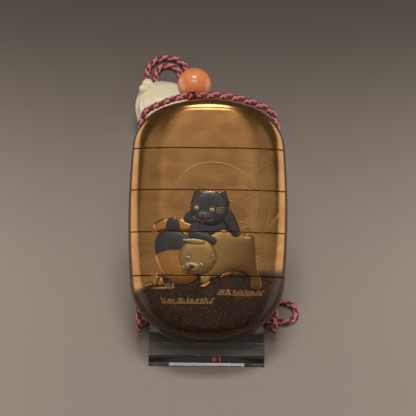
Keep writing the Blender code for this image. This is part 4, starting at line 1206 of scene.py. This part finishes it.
@dataclass
class Cord:
    """The one silk cord in two runs, with the two loops of its bow and its knot, its routes in millimetres.

    The stretches over the lid and in the channels are in the case's frame, and the others in the world's.
    """

    shape: CaseShape
    braid: Braid = field(default_factory=Braid)
    diameter: float = 0.0024
    channel_x: float = 0.0249
    solid_spacing: float = 0.0058
    point_spacing: float = 0.0009
    left_tail: tuple[Point3, ...] = threes(
        -19.75, 131.8, 4.2, -19.75, 136.6, 4.2, -19.9, 141, 2.5, -20.9, 146.5, 1.25, -22, 152, 1.25,
        -20.9, 157.6, 1.25, -16.9, 160, 1.25, -13, 157.4, 1.25, -12, 151.5, 1.25, -11.2, 144.5, 1.25,
        -9.3, 134, 1.25, -7.7, 124, 1.25, -7.4, 116, 1.25, -7.1, 106, 1.25, -6.9, 96, 1.4, -6.85, 90, 2.8,
        -6.85, 86.8, 7.2, -6.85, 85.6, 15, -6.85, 85.4, 30, -6.85, 85.3, 45, -6.85, 85.3, 56.4,
        -6.85, 85.2, 61.6, -6.85, 83.9, 64.9, -6.85, 80.3, 66.2, -6.85, 76.5, 66.2, -6.85, 72.9, 66.2,
    )
    right_tail: tuple[Point3, ...] = threes(
        -22.45, 131.8, 4.2, -22.45, 136.6, 4.2, -22.9, 141.3, 2.5, -24.2, 147, 1.25, -25.4, 153.5, 1.25,
        -24.4, 160.2, 1.25, -20.4, 164, 1.25, -15.2, 164.4, 1.25, -10.9, 161, 1.25, -9, 154.5, 1.25,
        -8.1, 146.5, 1.25, -6.6, 137, 1.25, -5.2, 129, 1.25, -4.7, 121, 1.25, -4.4, 110, 1.25, -4.2, 97, 1.4,
        -4.15, 90, 2.8, -4.15, 86.8, 7.2, -4.15, 85.6, 15, -4.15, 85.4, 30, -4.15, 85.3, 45,
        -4.15, 85.3, 56.4, -4.15, 85.2, 61.6, -4.15, 83.9, 64.9, -4.15, 80.3, 66.2, -4.15, 76.5, 66.2,
        -4.15, 72.9, 66.2,
    )
    left_over_lid: tuple[Point3, ...] = threes(
        -6.85, 1.8, 46.25, -6.9, -0.5, 45.7, -8.3, -3.5, 45.35, -11.6, -4.9, 44.6, -15.5, -3.6, 43.55,
        -19.3, -1.7, 42.1, -22.7, -0.4, 40.45, -24.5, 0, 38.5, -24.95, 0, 36.2, -24.9, 0, 32.35,
    )
    right_over_lid: tuple[Point3, ...] = threes(
        -4.15, 1.8, 46.3, -4.1, -0.5, 45.9, -2.7, -3.5, 45.75, 0.7, -4.9, 45.72, 5, -4.6, 45.52,
        10, -4.1, 44.85, 15, -3.2, 43.75, 19.3, -1.7, 42.1, 22.7, -0.4, 40.45, 24.5, 0, 38.5, 24.95, 0, 36.2,
        24.9, 0, 32.35,
    )
    in_channel: tuple[Point2, ...] = pairs(
        0, 20, 0, 5, 0, -10, 0, -24, 0, -30.85, 0.1, -34.55, 2, -37.85, 5.3, -39.55,
    )
    left_to_knot: tuple[Point3, ...] = threes(
        -24.9, 9.9, 4.2, -24.7, 13.3, 1.6, -22.9, 16.6, 1.25, -18.5, 18.9, 1.25, -12, 20.6, 1.25,
        -6, 22.6, 1.25, -2.6, 24.3, 1.25,
    )
    right_to_knot: tuple[Point3, ...] = threes(
        24.9, 9.9, 4.2, 24.6, 13.3, 1.6, 22.6, 16.4, 1.25, 18, 18.2, 1.25, 13, 20.2, 1.25, 9, 23, 1.25,
    )
    right_loop: tuple[Point3, ...] = threes(
        9, 26.2, 1.25, 13.4, 24.6, 1.25, 18.6, 21.9, 1.25, 23.6, 18.9, 1.25, 27.8, 16.9, 1.25,
        31.7, 17.6, 1.25, 33.45, 21.2, 1.25, 32.4, 24.9, 1.25, 28.8, 26.7, 1.25, 22, 27.9, 1.25,
        15, 29.2, 1.25, 8.9, 29.2, 1.25,
    )
    left_loop: tuple[Point3, ...] = threes(
        -2.9, 27.3, 1.25, -8, 25.6, 1.25, -13.6, 24.8, 1.25, -17.3, 26.4, 1.25, -18.7, 30, 1.25,
        -17.2, 33.6, 1.25, -13.6, 35.1, 1.25, -8, 34.3, 1.25, -2.6, 31.2, 1.25,
    )
    knot_place: Point3 = (0.0030, 0.0255, 0.0030)
    knot_scale: Point3 = (0.00132, 0.00105, 0.0013)

    def long_route(self, side: int) -> list[Point3]:
        """The whole route of one run, in metres, from the toggle to the knot."""
        tail, lid, end = (
            (self.left_tail, self.left_over_lid, self.left_to_knot),
            (self.right_tail, self.right_over_lid, self.right_to_knot),
        )[side > 0]
        down = [(side * self.channel_x, y * MM, z * MM) for y, z in self.in_channel]
        on_case = [tuple(self.shape.on_case(p)) for p in (*metres(lid), *down)]
        return [*metres(tail), *on_case, *metres(end)]

    def build(self, finish: bpy.types.Material) -> dict[str, bpy.types.Object]:
        routes = {
            "cord_left": self.long_route(-1), "cord_right": self.long_route(1),
            "bow_loop_left": metres(self.left_loop), "bow_loop_right": metres(self.right_loop),
        }
        made = {}
        for name, points in routes.items():
            corners = smooth_route(points, self.solid_spacing)
            route = smooth_route(corners, self.point_spacing)
            piece = hand_over(self.braid.along(f"{name}_braid", route, finish), name)
            made[name] = piece
        made["cord_knot"] = self.knot(finish)
        return made

    def knot(self, finish: bpy.types.Material) -> bpy.types.Object:
        """The bow's knot: the cord wound once over and under itself."""
        turns = np.linspace(0, 2 * math.pi, 90, endpoint=False)
        x, y = np.sin(turns) + 2 * np.sin(2 * turns), np.cos(turns) - 2 * np.cos(2 * turns)
        route = np.column_stack((x, y, -np.sin(3 * turns))) * np.array(self.knot_scale) + np.array(self.knot_place)
        return hand_over(self.braid.along("bow_knot", route, finish, closed=True), "cord_knot")


@dataclass
class Bead:
    """The round coral bead with its oval hole for both strands."""

    centre: Point3
    diameter: float = 0.01265
    hole: Point2 = (0.0028, 0.0017)
    rows: int = 44
    turns: int = 72

    def build(self, finish: bpy.types.Material) -> bpy.types.Object:
        """Turns the bead about the cord's direction."""
        radius = self.diameter / 2
        vertices, faces = [], []
        for turn in np.linspace(0, 2 * math.pi, self.turns, endpoint=False):
            c, s = math.cos(turn), math.sin(turn)
            hole = 1 / math.hypot(c / self.hole[0], s / self.hole[1])
            reach = math.asin(hole / radius)
            rises = np.linspace(reach + 0.05, math.pi - reach - 0.05, self.rows)
            profile = [(radius * math.sin(a), radius * math.cos(a)) for a in rises]
            end = radius * math.cos(reach) - 0.00025
            profile += [(hole, -end), (hole, end)]
            vertices += [(r * c, y, r * s) for r, y in profile]
        count = self.rows + 2
        for k in range(self.turns):
            here, after = k * count, (k + 1) % self.turns * count
            for i in range(count):
                j = (i + 1) % count
                faces.append((here + i, here + j, after + j, after + i))
        mesh = bpy.data.meshes.new("bead")
        mesh.from_pydata(vertices, [], faces)
        turned_out(mesh)
        mesh.transform(Matrix.Translation(self.centre))
        piece = add_object("coral_bead", mesh, finish)
        mesh.set_sharp_from_angle(angle=math.radians(50))
        return hand_over(piece, "ojime_bead")


@dataclass
class Toggle:
    """The toggle: a full tied sack, its gathered mouth in pleats at the left with two small knots."""

    width: float = 0.0216
    depth: float = 0.0215
    height: float = 0.0190
    power: float = 2.5
    place: Point2 = (-0.0185, 0.1250)
    neck: Point3 = (-0.66, 0.20, 0.70)
    knots: tuple[tuple[Point3, float, float], ...] = (
        ((-0.51, 0.38, 0.77), 0.0121, 0.0022), ((-0.645, 0.19, 0.74), 0.0121, 0.0018),
    )
    cord_hole: float = 0.00165
    hole_height: float = 0.0042
    rows: int = 110
    columns: int = 200

    def shape_of(self, way: np.ndarray) -> tuple[np.ndarray, np.ndarray]:
        """Distance from the sack's centre to its surface, and how deep in a fold it lies.

        Args:
            way: Directions, one a row.

        Returns:
            The distances and the folds' depths from 0 to 1.
        """
        half = np.array((self.width / 2, self.depth / 2, self.height * 0.53))
        radius = ((np.abs(way) / half) ** self.power).sum(axis=1) ** (-1 / self.power)
        neck = np.array(Vector(self.neck).normalized())
        side = np.array(Vector(self.neck).cross(Vector((0, 0, 1))).normalized())
        up = np.cross(side, neck)
        polar = np.arccos(np.clip(way @ neck, -1, 1))
        around = np.arctan2(way @ up, way @ side)
        pleat = 0.5 + 0.5 * np.cos(11 * around + 2.2 * polar)
        here = np.exp(-(((polar - 0.62) / 0.42) ** 2)) * np.clip(0.62 - way[:, 2] * 0.55, 0, 1)
        radius = radius + self.width * 0.060 * here * (pleat**1.6 - 0.45)
        fold = np.clip((1 - pleat) ** 2 * here * 1.7, 0, 1)
        for knot, reach, size in self.knots:
            centre = np.array(Vector(knot).normalized()) * reach
            along = way @ centre
            under = along**2 - (centre**2).sum() + size**2
            ball = np.where((under > 0) & (along > 0), along + np.sqrt(np.maximum(under, 0)), 0)
            rim = np.clip(1 - np.abs(ball - radius) / 0.0005, 0, 1) * (ball > 0)
            fold = np.maximum(fold, rim * 0.8)
            radius = np.maximum(radius, ball)
        return radius, fold

    def build(self, finish: bpy.types.Material) -> bpy.types.Object:
        """Carves the toggle and drills its two cord holes."""
        low = -self.height * 0.47
        rises = np.linspace(-math.pi / 2, math.pi / 2, self.rows + 1)[1:-1]
        turns = np.linspace(0, 2 * math.pi, self.columns, endpoint=False)
        rise, turn = np.meshgrid(rises, turns, indexing="ij")
        way = np.stack((np.cos(rise) * np.cos(turn), np.cos(rise) * np.sin(turn), np.sin(rise)), axis=2)
        radius, fold = self.shape_of(way.reshape(-1, 3))
        points = way.reshape(-1, 3) * radius[:, None]
        points[:, 2] = np.maximum(points[:, 2], low)
        mesh = rings_mesh("toggle", points.reshape(*way.shape))
        store(mesh, "fold", fold)
        centre = Vector((*self.place, -low))
        mesh.transform(Matrix.Translation(centre))
        piece = add_object("ivory_toggle", mesh, finish)
        back = self.place[1] + self.depth / 2
        cutters = []
        for side in (-1, 1):
            x = self.place[0] - self.width * 0.12 + side * 0.00135
            bm = bmesh.new()
            lying = Matrix.Translation((x, back, self.hole_height)) @ Matrix.Rotation(math.pi / 2, 4, "X")
            bmesh.ops.create_cone(bm, cap_ends=True, segments=28, radius1=self.cord_hole, radius2=self.cord_hole,
                                  depth=0.012, matrix=lying)
            cutters.append(placed("cord_hole", kept(bm, "cord_hole")))
        cut(piece, cutters)
        discard(cutters)
        piece.data.set_sharp_from_angle(angle=math.radians(60))
        return hand_over(piece, "netsuke")


@dataclass
class Stand:
    """The clear stand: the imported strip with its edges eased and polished."""

    ease: float = 0.00022

    def build(self, finish: bpy.types.Material) -> bpy.types.Object:
        """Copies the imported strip, merges its faces and bevels its edges."""
        bm = bmesh.new()
        bm.from_mesh(bpy.data.objects["acrylic_stand"].data)
        bmesh.ops.remove_doubles(bm, verts=bm.verts, dist=1e-6)
        bmesh.ops.dissolve_limit(bm, angle_limit=math.radians(1), verts=bm.verts, edges=bm.edges)
        piece = add_object("clear_stand", kept(bm, "clear_stand"), finish)
        bevel = piece.modifiers.new("eased_edges", "BEVEL")
        bevel.width, bevel.segments, bevel.limit_method = self.ease, 3, "ANGLE"
        bevel.angle_limit = math.radians(50)
        apply_modifiers(piece)
        piece.data.set_sharp_from_angle(angle=math.radians(30))
        return hand_over(piece, "acrylic_stand")


# The studio


@dataclass
class Studio:
    """Plain floor, soft lights and the camera."""

    aim: Vector
    distance: float = 0.9
    elevation: float = 45.0
    lens: float = 214.2
    roll: float = 0.6

    def camera(self) -> bpy.types.Object:
        """A long lens that looks down at the case."""
        data = bpy.data.cameras.new("camera")
        data.lens, data.sensor_width = self.lens, 36.0
        data.clip_start, data.clip_end = 0.05, 20.0
        made = placed("camera", data)
        rise = math.radians(self.elevation)
        back = Vector((0.0, -math.cos(rise), math.sin(rise)))
        turn = Matrix.Rotation(math.pi / 2 - rise, 4, "X") @ Matrix.Rotation(math.radians(self.roll), 4, "Z")
        made.matrix_world = Matrix.Translation(self.aim + back * self.distance) @ turn
        bpy.context.scene.camera = made
        return made

    def floor(self, finish: bpy.types.Material) -> bpy.types.Object:
        """The plain floor, which isn't part of the object."""
        bm = bmesh.new()
        bmesh.ops.create_grid(bm, x_segments=4, y_segments=4, size=1.5, matrix=Matrix.Translation((0, 0.3, -0.0001)))
        made = add_object("floor", kept(bm, "floor"), finish)
        return made

    def light(self, name: str, azimuth: float, elevation: float, distance: float, size: Point2, power: float,
              colour: Colour = (1.0, 0.96, 0.9)) -> None:
        """A soft rectangular light that faces the case."""
        data = bpy.data.lights.new(name, "AREA")
        data.shape, data.size, data.size_y = "RECTANGLE", *size
        data.energy, data.color = power, colour
        made = placed(name, data)
        turn, rise = math.radians(azimuth), math.radians(elevation)
        way = Vector((math.sin(turn) * math.cos(rise), -math.cos(turn) * math.cos(rise), math.sin(rise)))
        made.location = self.aim + way * distance
        made.rotation_euler = (-way).to_track_quat("-Z", "Y").to_euler()

    def build(self, finish: bpy.types.Material) -> None:
        """Sets up the camera, the floor, the lights and the dim surroundings."""
        self.camera()
        self.floor(finish)
        self.light("key", 180, 78, 0.80, (0.30, 0.20), 2.65)
        self.light("gleam", 0, 74.5, 0.80, (0.34, 0.14), 1.1)
        self.light("front", 0, 60, 1.10, (0.90, 0.32), 0.52)
        for side in (-1, 1):
            self.light("side_front", 50 * side, 40, 1.00, (0.70, 0.50), 0.42)
            self.light("card", 94 * side, 0, 0.17, (0.30, 0.095), 0.115)
        world = bpy.data.worlds.new("surroundings")
        world.use_nodes = True
        world.node_tree.nodes["Background"].inputs["Color"].default_value = (0.022, 0.020, 0.018, 1.0)
        bpy.context.scene.world = world
        bpy.context.scene.view_settings.view_transform = "Standard"


def main() -> None:
    """Builds the pieces in order and dresses them."""
    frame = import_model()
    LOG.info("loaded %d nodes", len(frame["nodes"]))
    shape = CaseShape()
    Studio(aim=shape.on_case((0.0, -0.011, 0.0037))).build(TableCloth().build())
    silk = Silk().build()
    Cord(shape).build(silk)
    picture = Picture()
    picture.draw()
    Case(shape, picture).build(GoldLacquer(shape).build())
    bead = tuple(shape.on_case((-0.0055, 0.0062, 0.04435 + 0.006325 + 0.0003)))
    Bead(bead).build(Coral(bead).build())
    toggle = Toggle()
    toggle.build(Ivory((*toggle.place, toggle.height * 0.47)).build())
    Stand().build(ClearAcrylic().build())


if __name__ == "__main__":
    logging.basicConfig(level=logging.INFO, format="%(name)s %(message)s")
    main()
